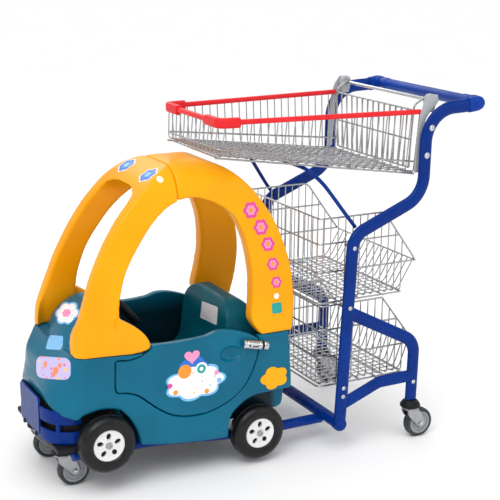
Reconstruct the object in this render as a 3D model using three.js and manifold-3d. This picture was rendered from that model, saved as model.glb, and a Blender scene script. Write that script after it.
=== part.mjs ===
// Children's shopping trolley: a moulded ride-in toy car on a tubular steel frame that carries three
// wire baskets. Millimetres, +Z up. +X points to the handle end, -X to the car's nose, and the floor
// under the middle of the trolley is the origin. Every left piece (at -Y) has a mirrored right twin.
import * as THREE from "three";
import { mergeVertices } from "three/addons/utils/BufferGeometryUtils.js";
import Module from "manifold-3d";

const wasm = await Module();
wasm.setup();

// ---- driving dimensions ----------------------------------------------------------------------
const GAP = 0.3; // between pieces that touch

const SIDE_Y = 254; // centre plane of each side frame
const OVAL_W = 38; // flat-oval tube, wide way
const OVAL_T = 20; // flat-oval tube, narrow way
const OVAL_ROUND = 6;
const HANDLE_X = 632;
const HANDLE_Z = 994;
const HANDLE_BAR_R = 12.5;
const GRIP_R = 17;
const ELBOW_R = 20;
const ELBOW_END_Y = 272;
const FOOT_X = 204;
const FOOT_Z = 88;
const FOOT_R = 18;
const RAIL_Y = 155;
const RAIL_R = 15;
const RAIL_REAR_Z = 72;
const RAIL_FRONT_Z = 108;
const LEG_X = 452;
const LEG_FOOT_Z = 121;

const WHEEL_SIDES = 24;
const CASTER_R = 45; // over the corners of the faceted tread
const CASTER_AXLE_Z = CASTER_R * Math.cos(Math.PI / WHEEL_SIDES);
const CASTER_TREAD = 28;
const CASTER_TRAIL = 30;
const CASTER_AXLE_R = 4;
const CUP_R = 30;
const CUP_LOW_Z = 98;
const FRONT_CASTER = { x: -588, y: 102, top: 123.7 };
const REAR_CASTER = { x: LEG_X, y: SIDE_Y, top: LEG_FOOT_Z - 1 };

const TOY_R = 80;
const TOY_SIDES = 24;
const TOY_IN_Y = 173;
const TOY_OUT_Y = 228;
const TOY_AXLE_R = 6;
const FRONT_AXLE = { x: -497, z: 147 };
const REAR_AXLE = { x: -40, z: 94 };

const BASKET_WIRE = 5;
const BASKET_CELL = 108; // one bar stands for about four wires
const UPPER = {
  frontX: -142, rearX: 455, frontY: 168, rearY: 226, rimZ: 976, taper: 16, frontZ: 884, rearZ: 800,
};
const MIDDLE = { frontX: 144, bendX: 357, rearTopX: 473, rearTopZ: 540, rearX: 424, topZ: 696, lowZ: 454 };
const LOWER = { frontX: 150, bendX: 361, rearTopX: 472, rearTopZ: 298, rearX: 440, topZ: 441, lowZ: 202 };
const SHELF_Y = 216; // half the width of the middle and lower baskets
const PLATE_Y = 234;
const PLATE_T = 4;
const ROD = { x: 490, z: 1006, r: 5 };
const GATE = { topX: 448, topZ: 975, lowX: 450, lowZ: 812, topY: 205, lowY: 190, wire: 6 };

const CAR_Y = 215; // outside of the car's flanks
const WALL = 22;
const BELT_Z = 386;
const CABIN_Y = CAR_Y - WALL;
const WHEEL_BOX_Y = 160;
const DOOR_SEAM = 2.5;
const ROOF_SPLIT_X = -254;
const BOLT = { x: -72, z: 368, y: 229, tilt: 0.21, barrelR: 13, boreR: 6, rodR: 5.6, knobR: 3.2 };
const STEERING = { x: -368, z: 456, ring: 64, tube: 9, tilt: 0.85 };

// ---- outlines in the side view, as [x, z] ------------------------------------------------------
const SIDE_PATH = [[600, 989, 0], [461, 984, 95], [459, 742, 86], [230, 648, 60], [FOOT_X, FOOT_Z + 14, 0]];
const LEG_PATH = [[222, 425, 0], [LEG_X + 3, 304, 60], [LEG_X, LEG_FOOT_Z, 0]];
const BRACE_PATH = [[207, 147, 0], [336, 196, 50], [LEG_X, 197, 0]];
const DOOR_LINE = [
  [-474, 371], [-471, 287], [-407, 275], [-351, 226], [-308, 199], [-262, 187], [-212, 186], [-166, 196],
  [-125, 214], [-93, 240], [-68, 278], [-52, 318], [-45, 352], [-46, 378], [-78, 396], [-131, 413],
  [-172, 416], [-208, 407], [-365, 408], [-372, 392], [-429, 371],
];
const BODY_LINE = [
  [-652, 335], [-652, 300], [-642, 268], [-621, 242], [-560, 222], [-505, 215], [-405, 127], [-138, 97],
  [30, 135], [60, 150], [63, 237], [58, 303], [52, BELT_Z], [-590, BELT_Z], [-622, 372], [-644, 354],
];
const HOOD_LINE = [
  [-606, BELT_Z - 6], [-588, 412], [-545, 444], [-490, 468], [-446, 478], [-437, 470], [-437, BELT_Z - 6],
];
const FRONT_HOLLOW = [[-636, 200], [-636, 345], [-592, 372], [-545, 424], [-452, 460], [-452, 100], [-560, 100]];
const FRONT_ARCH = [
  [-600, 80], [-566, 222], [-532, 236], [-497, 241], [-450, 229], [-415, 180], [-399, 126], [-399, 80],
];
const REAR_ARCH = [[-138, 80], [-130, 158], [-92, 194], [-54, 209], [1, 212], [80, 213], [80, 80]];
const ROOF_OUT = [
  [-590, 387], [-586, 440], [-566, 482], [-548, 527], [-522, 589], [-483, 658], [-440, 718], [-400, 762],
  [-350, 808], [-300, 842], [-250, 862], [-205, 868], [-150, 863], [-95, 843], [-40, 797], [10, 733],
  [45, 665], [68, 590], [77, 520], [74, 450], [64, 387],
];
const ROOF_ARCH = [
  [-457, 380], [-456, 440], [-453, 482], [-446, 532], [-420, 603], [-376, 668], [-332, 720], [-290, 755],
  [-249, 773], [-214, 777], [-180, 771], [-131, 749], [-93, 718], [-71, 675], [-57, 623], [-50, 553],
  [-55, 484], [-64, 418], [-37, 392], [-37, 380],
];
const FAIRING = [[-460, 387], [-430, 387], [-398, 390], [-369, 402], [-380, 432], [-408, 456], [-460, 488]];
// The roof seen from the front, as [half width, z].
const ROOF_FRONT_VIEW = [[216, 380], [145, 780], [134, 818], [108, 848], [60, 864], [0, 868]];
const ROOF_TUNNEL = [[171, 300], [171, 390], [104, 770], [92, 792], [60, 802], [0, 804]];

// ---- colours -----------------------------------------------------------------------------------
const paint = (color, roughness, metalness = 0) => new THREE.MeshStandardMaterial({ color, roughness, metalness });
const BLUE = paint(0x06389a, 0.35, 0.1);
const BLUE_PLASTIC = paint(0x0a41a8, 0.45);
const CHROME = paint(0xc9ccd0, 0.2, 1);
const GREY = paint(0xa9adb0, 0.5);
const RED = paint(0xe2352c, 0.4);
const TEAL = paint(0x00758f, 0.4);
const YELLOW = paint(0xf7a90f, 0.4);
const BLACK = paint(0x1c1c1e, 0.6);
const TREAD = paint(0x4a4c4f, 0.7);

// ---- solids and their booleans -----------------------------------------------------------------
function solid(geometry) {
  const plain = new THREE.BufferGeometry();
  const source = geometry.index ? geometry.toNonIndexed() : geometry;
  plain.setAttribute("position", source.getAttribute("position").clone());
  const merged = mergeVertices(plain, 1e-3);
  const mesh = { numProp: 3, vertProperties: merged.attributes.position.array };
  return new wasm.Manifold(new wasm.Mesh({ ...mesh, triVerts: new Uint32Array(merged.index.array) }));
}

function geometryOf(manifold) {
  const { vertProperties, triVerts } = manifold.getMesh();
  const geometry = new THREE.BufferGeometry();
  geometry.setAttribute("position", new THREE.BufferAttribute(new Float32Array(vertProperties), 3));
  geometry.setIndex(new THREE.BufferAttribute(new Uint32Array(triVerts), 1));
  const flat = geometry.toNonIndexed();
  flat.computeVertexNormals();
  return flat;
}

const join = (...solids) => solids.reduce((sum, next) => sum.add(next));
const cut = (first, ...rest) => rest.reduce((sum, next) => sum.subtract(next), first);

const parts = new THREE.Group();
function add(name, shape, material, group = parts) {
  const geometry = shape.isBufferGeometry ? shape : geometryOf(shape);
  const mesh = new THREE.Mesh(geometry, material);
  mesh.name = name;
  group.add(mesh);
  return mesh;
}

// The same piece on both sides; the right one is the left one mirrored.
function addPair(name, shape, material) {
  add(`${name}_left`, shape, material);
  add(`${name}_right`, shape, material).scale.y = -1;
}

// ---- basic shapes --------------------------------------------------------------------------------
const block = (x0, x1, y0, y1, z0, z1) =>
  new THREE.BoxGeometry(x1 - x0, y1 - y0, z1 - z0).translate((x0 + x1) / 2, (y0 + y1) / 2, (z0 + z1) / 2);

function shapeOf(points) {
  return new THREE.Shape(points.map(([a, b]) => new THREE.Vector2(a, b)));
}

// A side-view outline, extruded across the trolley from y0 to y1.
function across(points, y0, y1) {
  const geometry = new THREE.ExtrudeGeometry(shapeOf(points), { depth: y1 - y0, bevelEnabled: false });
  return geometry.rotateX(Math.PI / 2).translate(0, y1, 0);
}

// The same, once on each side of the middle.
const bothSides = (outline, y0, y1) => [solid(across(outline, y0, y1)), solid(across(outline, -y1, -y0))];

// A front-view outline given as [half width, z], mirrored about the middle and extruded from x0 to x1.
function along(half, x0, x1) {
  const left = half.filter(([y]) => y > 0).map(([y, z]) => [-y, z]);
  const shape = shapeOf([...half, ...left.reverse()]);
  const geometry = new THREE.ExtrudeGeometry(shape, { depth: x1 - x0, bevelEnabled: false });
  return geometry.rotateX(Math.PI / 2).rotateZ(Math.PI / 2).translate(x0, 0, 0);
}

// A plan outline as [x, y], extruded from z0 to z1.
function upward(points, z0, z1) {
  return new THREE.ExtrudeGeometry(shapeOf(points), { depth: z1 - z0, bevelEnabled: false }).translate(0, 0, z0);
}

function rodAcross(x, z, r, y0, y1, sides = 16) {
  return new THREE.CylinderGeometry(r, r, y1 - y0, sides).translate(0, (y0 + y1) / 2, 0).translate(x, 0, z);
}

function rodUp(x, y, r, z0, z1, sides = 20) {
  return new THREE.CylinderGeometry(r, r, z1 - z0, sides).rotateX(Math.PI / 2).translate(x, y, (z0 + z1) / 2);
}

// A closed ring or disc turned about the Y axis from [radius, y] points.
function turned(profile, sides, x, z) {
  const points = profile.map(([r, y]) => new THREE.Vector2(r, y));
  return new THREE.LatheGeometry(points, sides).rotateY(Math.PI / sides).translate(x, 0, z);
}

// A centre line through [x, z, bend radius] points, with every bend as an arc.
function bentLine(path) {
  const line = [];
  path.forEach(([x, z, radius], i) => {
    const here = new THREE.Vector2(x, z);
    if (!radius) {
      line.push(here);
      return;
    }
    const before = new THREE.Vector2(...path[i - 1].slice(0, 2)).sub(here).normalize();
    const after = new THREE.Vector2(...path[i + 1].slice(0, 2)).sub(here).normalize();
    const half = before.angleTo(after) / 2;
    const reach = radius / Math.tan(half);
    const centre = before.clone().add(after).normalize().multiplyScalar(radius / Math.sin(half)).add(here);
    const start = before.multiplyScalar(reach).add(here).sub(centre);
    const end = after.multiplyScalar(reach).add(here).sub(centre);
    const sweep = Math.atan2(start.cross(end), start.dot(end));
    const steps = Math.max(3, Math.ceil(Math.abs(sweep) / 0.2));
    for (let k = 0; k <= steps; k++) {
      line.push(start.clone().rotateAround(new THREE.Vector2(), (sweep * k) / steps).add(centre));
    }
  });
  return line;
}

// The outline of a strip of the given width along a centre line, with both ends drawn in by `trim`.
function stripOutline(path, width, trim) {
  const line = bentLine(path);
  const drawIn = (end, next) => end.add(next.clone().sub(end).setLength(trim));
  drawIn(line[0], line[1]);
  drawIn(line.at(-1), line.at(-2));
  const side = (sign) =>
    line.map((p, i) => {
      const before = line[Math.max(i - 1, 0)];
      const after = line[Math.min(i + 1, line.length - 1)];
      const way = after.clone().sub(before).normalize();
      return [p.x - (sign * way.y * width) / 2, p.y + (sign * way.x * width) / 2];
    });
  return [...side(1), ...side(-1).reverse()];
}

// A flat-oval tube in the plane of a side frame, grown all round by `grow`.
function ovalTube(path, grow = 0) {
  const bevel = { bevelEnabled: true, bevelThickness: OVAL_ROUND, bevelSize: OVAL_ROUND, bevelSegments: 1 };
  const shape = shapeOf(stripOutline(path, OVAL_W + 2 * grow - 2 * OVAL_ROUND, OVAL_ROUND - grow));
  const depth = OVAL_T + 2 * grow - 2 * OVAL_ROUND;
  const geometry = new THREE.ExtrudeGeometry(shape, { depth, ...bevel });
  return geometry.rotateX(Math.PI / 2).translate(0, -SIDE_Y + depth / 2, 0);
}

// A round bar along a smooth curve through 3-D points.
function bentBar(points, r, steps, sides = 8) {
  const curve = new THREE.CatmullRomCurve3(points.map((p) => new THREE.Vector3(...p)), false, "centripetal");
  const ring = new THREE.Shape().absarc(0, 0, r, 0, 2 * Math.PI);
  return new THREE.ExtrudeGeometry(ring, { steps, extrudePath: curve, curveSegments: sides / 2, bevelEnabled: false });
}

// ---- wire panels -----------------------------------------------------------------------------------
// A flat panel of square wires between four corners [x, y, z], given round its edge.
// `columns` and `rows` are its numbers of openings. Every wire has an edge each side of its centre
// line, so the panel is a lattice of edges: even gaps between them are wire and odd ones are open.
function wirePanel(corners, columns, rows, wire = BASKET_WIRE) {
  const [a, b, c, d] = corners.map((p) => new THREE.Vector3(...p));
  const normal = b.clone().sub(a).cross(d.clone().sub(a)).normalize().multiplyScalar(wire / 2);
  const edges = (count, length) => {
    const half = wire / 2 / length;
    return Array.from({ length: 2 * count + 2 }, (_, k) => Math.floor(k / 2) / count + (k % 2 ? half : -half));
  };
  const across = edges(columns, a.distanceTo(b));
  const up = edges(rows, a.distanceTo(d));
  const at = (s, t) => a.clone().lerp(b, s).lerp(d.clone().lerp(c, s), t);
  const index = (i, j, back) => (j * across.length + i) * 2 + back;
  const positions = [];
  up.forEach((t) => across.forEach((s) => {
    positions.push(...at(s, t).add(normal), ...at(s, t).sub(normal));
  }));
  const faces = [];
  const quad = (p, q, r, o) => faces.push(p, q, r, p, r, o);
  const filled = (i, j) =>
    i >= 0 && j >= 0 && i < across.length - 1 && j < up.length - 1 && !(i % 2 && j % 2);
  for (let j = 0; j < up.length - 1; j++) {
    for (let i = 0; i < across.length - 1; i++) {
      if (!filled(i, j)) continue;
      const corner = (k, l, back) => index(i + k, j + l, back);
      quad(corner(0, 0, 0), corner(1, 0, 0), corner(1, 1, 0), corner(0, 1, 0));
      quad(corner(0, 0, 1), corner(0, 1, 1), corner(1, 1, 1), corner(1, 0, 1));
      if (!filled(i, j - 1)) quad(corner(0, 0, 0), corner(0, 0, 1), corner(1, 0, 1), corner(1, 0, 0));
      if (!filled(i, j + 1)) quad(corner(0, 1, 0), corner(1, 1, 0), corner(1, 1, 1), corner(0, 1, 1));
      if (!filled(i - 1, j)) quad(corner(0, 0, 0), corner(0, 1, 0), corner(0, 1, 1), corner(0, 0, 1));
      if (!filled(i + 1, j)) quad(corner(1, 0, 0), corner(1, 0, 1), corner(1, 1, 1), corner(1, 1, 0));
    }
  }
  const geometry = new THREE.BufferGeometry().setIndex(faces);
  return solid(geometry.setAttribute("position", new THREE.Float32BufferAttribute(positions, 3)));
}

const cells = (length) => Math.max(2, Math.round(length / BASKET_CELL));

// ---- frame -------------------------------------------------------------------------------------------
function sideTube() {
  return cut(solid(ovalTube(SIDE_PATH)), solid(footTube(GAP)));
}

function footTube(grow = 0) {
  return rodAcross(FOOT_X, FOOT_Z, FOOT_R + grow, -SIDE_Y - OVAL_T / 2, SIDE_Y + OVAL_T / 2, 20);
}

function rearLeg() {
  return cut(solid(ovalTube(LEG_PATH)), solid(ovalTube(SIDE_PATH, GAP)));
}

function lowerBrace() {
  return cut(solid(ovalTube(BRACE_PATH)), solid(ovalTube(SIDE_PATH, GAP)), solid(ovalTube(LEG_PATH, GAP)));
}

function chassisRail() {
  const path = [
    [FOOT_X - 4, -RAIL_Y, RAIL_REAR_Z], [90, -RAIL_Y, RAIL_REAR_Z], [-30, -RAIL_Y, RAIL_REAR_Z],
    [-130, -RAIL_Y, RAIL_REAR_Z + 6], [-300, -RAIL_Y, RAIL_FRONT_Z - 6], [-400, -RAIL_Y, RAIL_FRONT_Z],
    [-500, -RAIL_Y, RAIL_FRONT_Z], [-612, -RAIL_Y, RAIL_FRONT_Z],
  ];
  return cut(solid(bentBar(path, RAIL_R, 16, 10)), solid(footTube(GAP)));
}

function supportRod() {
  const half = [[247, 235, 668], [220, 232, 702], [150, 214, 792], [122, 200, 827], [112, 176, 836]];
  const left = half.map(([x, y, z]) => [x, -y, z]);
  return bentBar([...left, [110, 0, 838], ...half.reverse()], 5.5, 24, 6);
}

function handleGrip() {
  const end = ELBOW_END_Y - 44 - GAP;
  const inner = HANDLE_BAR_R + GAP;
  return turned([[inner, -end], [GRIP_R, -end], [GRIP_R, end], [inner, end], [inner, -end]], 20, HANDLE_X, HANDLE_Z);
}

function handleElbow() {
  const start = -ELBOW_END_Y + 44;
  const cap = [[0, -ELBOW_END_Y], [12, -ELBOW_END_Y], [18, -ELBOW_END_Y + 4], [ELBOW_R, -ELBOW_END_Y + 10],
    [ELBOW_R, start], [0, start]];
  const socket = block(602, HANDLE_X, -SIDE_Y - 13, -SIDE_Y + 13, HANDLE_Z - 22, HANDLE_Z + 17);
  const bore = rodAcross(HANDLE_X, HANDLE_Z, HANDLE_BAR_R + GAP, -251, start + 1, 20);
  return cut(join(solid(turned(cap, 20, HANDLE_X, HANDLE_Z)), solid(socket)), solid(bore));
}

function bumper() {
  const plate = solid(block(-642, -636, -76, 76, 150, 257));
  const plan = [[-639, 70], [-634, 100], [-621, 128], [-600, 150], [-575, 160], [-552, 162]];
  const strip = (z0, z1) => {
    const out = plan.map(([x, y]) => [x - 2.5, y + 1.5]);
    const inside = plan.map(([x, y]) => [x + 2.5, y - 2.5]).reverse();
    const right = solid(upward([...out, ...inside], z0, z1));
    return join(right, right.mirror([0, 1, 0]));
  };
  const tongues = [-1, 1].map((s) => solid(block(-638, -560, s * 50 - 12, s * 50 + 12, 140, 151)));
  const strut = solid(upward([[-613, 132], [-604, 130], [-604, 147], [-613, 144]], 150, 206));
  const struts = [strut, strut.mirror([0, 1, 0])];
  return join(plate, strip(198, 236), strip(142, 178), ...tongues, ...struts);
}

function casterBeam() {
  return block(-624, -552, -172, 172, RAIL_FRONT_Z + RAIL_R + 1, 139.7);
}

// ---- baskets ---------------------------------------------------------------------------------------------
// Half width of the upper basket at x, at its rim and at its floor.
const upperY = (x) => {
  const share = (x - UPPER.frontX) / (UPPER.rearX - UPPER.frontX);
  return UPPER.frontY + share * (UPPER.rearY - UPPER.frontY);
};

function upperBasket() {
  const { frontX, rearX, rimZ, frontZ, rearZ, taper } = UPPER;
  const [f, r] = [upperY(frontX), upperY(rearX)];
  const frontLow = frontX - 8;
  const side = (s) => wirePanel([[frontLow, s * (f - taper), frontZ], [rearX, s * (r - taper), rearZ],
    [rearX, s * r, rimZ], [frontX, s * f, rimZ]], cells(rearX - frontX), 2);
  const floor = wirePanel([[frontLow, taper - f, frontZ], [rearX, taper - r, rearZ], [rearX, r - taper, rearZ],
    [frontLow, f - taper, frontZ]], cells(rearX - frontX), cells(2 * f));
  const front = wirePanel([[frontLow, taper - f, frontZ], [frontLow, f - taper, frontZ], [frontX, f, rimZ],
    [frontX, -f, rimZ]], cells(2 * f), 2);
  return join(side(1), side(-1), floor, front);
}

// A channel that sits over a top wire, from a to b; `wall` is 0 for its outside, or the wall that
// its inside leaves.
function channelBody(a, b, wall, reach = 0) {
  const [from, to] = [new THREE.Vector3(...a), new THREE.Vector3(...b)];
  const length = from.distanceTo(to) + 2 * reach;
  const width = 14 - 2 * wall;
  const height = wall ? 30 : 16;
  const top = UPPER.rimZ + 8 - wall;
  const box = new THREE.BoxGeometry(length, width, height).rotateZ(Math.atan2(to.y - from.y, to.x - from.x));
  const middle = from.add(to).divideScalar(2);
  return solid(box.translate(middle.x, middle.y, top - height / 2));
}

const RIM_JOINT_X = UPPER.frontX + 38;
function rimSide() {
  const a = [RIM_JOINT_X + GAP, -upperY(RIM_JOINT_X), 0];
  const b = [UPPER.rearX, -upperY(UPPER.rearX), 0];
  return cut(channelBody(a, b, 0), channelBody(a, b, 2.6, 5));
}

function rimFront() {
  const corner = (s) => [UPPER.frontX, s * UPPER.frontY, 0];
  const end = (s) => [RIM_JOINT_X, s * upperY(RIM_JOINT_X), 0];
  const front = channelBody(corner(-1), corner(1), 0, 7);
  const sides = [-1, 1].map((s) => channelBody(corner(s), end(s), 0));
  const hollow = [channelBody(corner(-1), corner(1), 2.6, 3)];
  hollow.push(...[-1, 1].map((s) => channelBody(corner(s), end(s), 2.6, 4)));
  return cut(join(front, ...sides), ...hollow);
}

function basketPlate() {
  const outline = [
    [436, 806], [470, 806], [478, 950], [510, 1000], [506, 1024], [476, 1024], [456, 996], [446, 950],
  ];
  const plate = solid(across(outline, -PLATE_Y - PLATE_T, -PLATE_Y));
  const pads = [[472, 934], [461, 858]].map(([x, z]) =>
    solid(rodAcross(x, z, 9, -SIDE_Y + OVAL_T / 2 + GAP - 9, -PLATE_Y - 1)));
  return join(plate, ...pads.map((pad) => cut(pad, solid(ovalTube(SIDE_PATH, GAP)))));
}

function gateClip() {
  const outline = [[473, 972], [500, 972], [507, 1004], [503, 1018], [492, 1024], [478, 1019], [472, 1004]];
  const body = solid(across(outline, -PLATE_Y + GAP, -214));
  return cut(body, solid(rodAcross(ROD.x, ROD.z, ROD.r + GAP, -229, -210)));
}

function gate() {
  const { topX, topZ, lowX, lowZ, topY, lowY, wire } = GATE;
  const panel = wirePanel([[lowX, -lowY, lowZ], [lowX, lowY, lowZ], [topX, topY, topZ], [topX, -topY, topZ]],
    7, 2, wire);
  const arms = [-1, 1].map((s) => {
    const arm = [[topX - 4, topZ - 12], [topX + 6, topZ - 12], [ROD.x + 3, ROD.z - 6], [ROD.x - 3, ROD.z + 8],
      [topX - 5, topZ + 4]];
    return solid(across(arm, s * (topY - 2) - 3.5, s * (topY - 2) + 3.5));
  });
  const eyes = [-1, 1].map((s) => solid(rodAcross(ROD.x, ROD.z, 11, s * (topY - 2) - 3.5, s * (topY - 2) + 3.5)));
  return cut(join(panel, ...arms, ...eyes), solid(rodAcross(ROD.x, ROD.z, ROD.r + GAP, -230, 230)));
}

// A shelf basket: upright front, sloping rear wall, and sides whose top wire drops towards the rear.
function shelfBasket({ frontX, bendX, rearTopX, rearTopZ, rearX, topZ, lowZ }, pegs) {
  const y = SHELF_Y;
  const side = (s) => join(
    wirePanel([[frontX, s * y, lowZ], [bendX, s * y, lowZ], [bendX, s * y, topZ], [frontX, s * y, topZ]],
      cells(bendX - frontX), 3),
    wirePanel([[bendX, s * y, lowZ], [rearX, s * y, lowZ], [rearTopX, s * y, rearTopZ], [bendX, s * y, topZ]], 2, 2),
  );
  const floor = wirePanel([[frontX, -y, lowZ], [rearX, -y, lowZ], [rearX, y, lowZ], [frontX, y, lowZ]],
    cells(rearX - frontX), cells(2 * y));
  const front = wirePanel([[frontX, -y, lowZ], [frontX, y, lowZ], [frontX, y, topZ], [frontX, -y, topZ]],
    cells(2 * y), 3);
  const rear = wirePanel([[rearX, -y, lowZ], [rearX, y, lowZ], [rearTopX, y, rearTopZ], [rearTopX, -y, rearTopZ]],
    cells(2 * y), 2);
  const mounts = pegs.flatMap(([x, z]) => [-1, 1].map((s) => {
    const inner = s * (y - 1);
    const outer = s * (SIDE_Y - OVAL_T / 2 - GAP);
    return solid(rodAcross(x, z, 5, Math.min(inner, outer), Math.max(inner, outer), 8));
  }));
  return join(side(1), side(-1), floor, front, rear, ...mounts);
}

// ---- casters -----------------------------------------------------------------------------------------------
function casterCup(top) {
  const profile = [[0, CUP_LOW_Z], [24, CUP_LOW_Z], [CUP_R, CUP_LOW_Z + 5], [CUP_R, top - 6], [24, top], [0, top]];
  return new THREE.LatheGeometry(profile.map(([r, z]) => new THREE.Vector2(r, z)), 20).rotateX(Math.PI / 2);
}

// The fork hangs from the swivel axis at x = y = 0 and carries the wheel behind it.
function casterFork() {
  const crown = solid(rodUp(0, 0, 22, CUP_LOW_Z - 6, CUP_LOW_Z - GAP));
  const cheek = [
    [-17, 92], [16, 92], [29, 82], [CASTER_TRAIL + 11, CASTER_AXLE_Z + 6],
    [CASTER_TRAIL + 9, CASTER_AXLE_Z - 8], [CASTER_TRAIL - 7, CASTER_AXLE_Z - 10], [-6, 78],
  ];
  const inner = CASTER_TREAD / 2 + 1.5;
  const cheeks = bothSides(cheek, inner, inner + 3);
  const bridge = solid(across([[-17, 92], [16, 92], [16, 95], [-17, 95]], -inner - 3, inner + 3));
  const axle = solid(rodAcross(CASTER_TRAIL, CASTER_AXLE_Z, CASTER_AXLE_R, -inner - 7, inner + 7, 12));
  return join(crown, bridge, ...cheeks, axle);
}

function casterWheel() {
  const half = CASTER_TREAD / 2;
  const bore = CASTER_AXLE_R + GAP;
  const profile = [[bore, -half + 2], [26, -half], [CASTER_R - 7, -half], [CASTER_R, -half + 7],
    [CASTER_R, half - 7], [CASTER_R - 7, half], [26, half], [bore, half - 2], [bore, -half + 2]];
  return turned(profile, WHEEL_SIDES, CASTER_TRAIL, CASTER_AXLE_Z);
}

function addCaster(place, { x, y, top }, side) {
  const corner = new THREE.Group();
  corner.position.set(x, side * y, 0);
  add(`caster_cup_${place}`, casterCup(top), BLACK, corner);
  add(`caster_fork_${place}`, casterFork(), GREY, corner);
  add(`caster_wheel_${place}`, casterWheel(), TREAD, corner);
  parts.add(corner);
}

// ---- toy car -------------------------------------------------------------------------------------------------
function toyWheel(axle) {
  const bore = TOY_AXLE_R + GAP;
  const profile = [[bore, -220], [40, -222], [46, -226], [66, -TOY_OUT_Y], [TOY_R, -214], [TOY_R, -186],
    [70, -TOY_IN_Y], [bore, -TOY_IN_Y], [bore, -220]];
  return turned(profile, TOY_SIDES, axle.x, axle.z);
}

function toyAxle({ x, z }, saddleZ) {
  const rod = solid(rodAcross(x, z, TOY_AXLE_R, -218, 218, 14));
  const saddles = [-1, 1].map((s) => solid(block(x - 12, x + 12, s * RAIL_Y - 14, s * RAIL_Y + 14, saddleZ, z + 10)));
  return join(rod, ...saddles);
}

function carPlan() {
  const half = [[80, CAR_Y], [-560, CAR_Y], [-598, 204], [-624, 180], [-642, 142], [-650, 92], [-653, 0]];
  const other = half.slice(0, -1).map(([x, y]) => [x, -y]).reverse();
  return [...half, ...other];
}

function carBody() {
  const plan = solid(upward(carPlan(), 60, 600));
  const tub = solid(across(BODY_LINE, -CAR_Y - 2, CAR_Y + 2)).intersect(plan);
  const betweenPillars = ROOF_TUNNEL.map(([y, z]) => [Math.max(y - 2 * GAP, 0), z - GAP]);
  const hood = solid(across(HOOD_LINE, -CAR_Y, CAR_Y)).intersect(plan).intersect(solid(along(betweenPillars, -700, 0)));
  const cabin = [
    solid(block(-437.5, 28, -CABIN_Y, CABIN_Y, 205, 600)),
    solid(block(-437.5, 28, -WHEEL_BOX_Y, WHEEL_BOX_Y, 150, 210)),
  ];
  const under = solid(block(-470, 90, -WHEEL_BOX_Y - 8, WHEEL_BOX_Y + 8, 60, 137));
  const skirt = solid(block(-395, -150, -CABIN_Y, CABIN_Y, 60, 137));
  const nose = solid(across(FRONT_HOLLOW, -195, 195)).intersect(
    solid(upward(carPlan().map(([x, y]) => [x + 14, y * 0.92]), 60, 600)));
  const opening = shapeGrow(DOOR_LINE, DOOR_SEAM).map(([x, z]) => [x, z > BELT_Z - 1 ? z + 200 : z]);
  return cut(join(tub, hood), ...cabin, under, skirt, nose,
    ...bothSides(FRONT_ARCH, WHEEL_BOX_Y + 6, CAR_Y + 4), ...bothSides(REAR_ARCH, WHEEL_BOX_Y + 6, CAR_Y + 4),
    ...bothSides(opening, CABIN_Y - 3, CAR_Y + 4));
}

// An outline moved outwards by `by`, along the average normal at each corner.
function shapeGrow(outline, by) {
  const turn = Math.sign(THREE.ShapeUtils.area(outline.map(([x, y]) => new THREE.Vector2(x, y))));
  return outline.map(([x, y], i) => {
    const [px, py] = outline.at(i - 1);
    const [nx, ny] = outline[(i + 1) % outline.length];
    const before = new THREE.Vector2(x - px, y - py).normalize();
    const after = new THREE.Vector2(nx - x, ny - y).normalize();
    const way = before.add(after).normalize();
    return [x + by * turn * way.y, y - by * turn * way.x];
  });
}

function carPan() {
  return block(-434, 20, -WHEEL_BOX_Y, WHEEL_BOX_Y, 125, 136.7);
}

function door() {
  return across(DOOR_LINE, -CAR_Y, -CABIN_Y);
}

function roof(x0, x1) {
  const arch = solid(across(ROOF_OUT, -230, 230)).intersect(solid(along(ROOF_FRONT_VIEW, x0, x1)));
  const doorArch = solid(across(ROOF_ARCH, -240, 240));
  return cut(arch, doorArch, solid(along(ROOF_TUNNEL, -700, 200)));
}

function roofFront() {
  return join(roof(-700, ROOF_SPLIT_X - GAP / 2), ...bothSides(FAIRING, 172, CAR_Y));
}

function seat() {
  const outline = [[-352, 152], [-352, 268], [-330, 290], [-150, 272], [-128, 300], [-118, 440], [-108, 478],
    [-82, 490], [-48, 484], [-26, 458], [-14, 380], [-8, 300], [-8, 152]];
  const plan = [[-360, -150], [0, -150], [0, 150], [-360, 150]];
  return solid(across(outline, -152, 152)).intersect(solid(upward(plan, 100, 600)));
}

function steeringWheel() {
  const { x, z, ring, tube, tilt } = STEERING;
  const rim = solid(new THREE.TorusGeometry(ring, tube, 6, 18));
  const hub = solid(new THREE.CylinderGeometry(22, 22, 22, 16).rotateX(Math.PI / 2).translate(0, 0, -7));
  const spokes = [0, 1, 2].map((k) =>
    solid(new THREE.BoxGeometry(16, ring, 9).translate(0, ring / 2, 0).rotateZ((k * 2 * Math.PI) / 3)));
  const column = solid(new THREE.CylinderGeometry(9, 9, 60, 12).rotateX(Math.PI / 2).translate(0, 0, -41));
  const wheel = geometryOf(join(rim, hub, ...spokes, column));
  return wheel.rotateZ(Math.PI / 2).rotateY(tilt).translate(x, 0, z);
}

// ---- door bolt, along +X from its own origin and then tilted onto the door -----------------------------------
const BARREL = [-30, 27];
const placeBolt = (shape) => geometryOf(shape).rotateY(BOLT.tilt).translate(BOLT.x, -BOLT.y, BOLT.z);
const alongX = (r, x0, x1, sides = 16) =>
  solid(new THREE.CylinderGeometry(r, r, x1 - x0, sides).rotateZ(Math.PI / 2).translate((x0 + x1) / 2, 0, 0));

function boltBarrel() {
  const slot = solid(block(-16, 16, -20, 0, -BOLT.knobR - 1, BOLT.knobR + 1));
  return placeBolt(cut(alongX(BOLT.barrelR, ...BARREL, 18), alongX(BOLT.boreR, BARREL[0] + 4, BARREL[1] + 1), slot));
}

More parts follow.
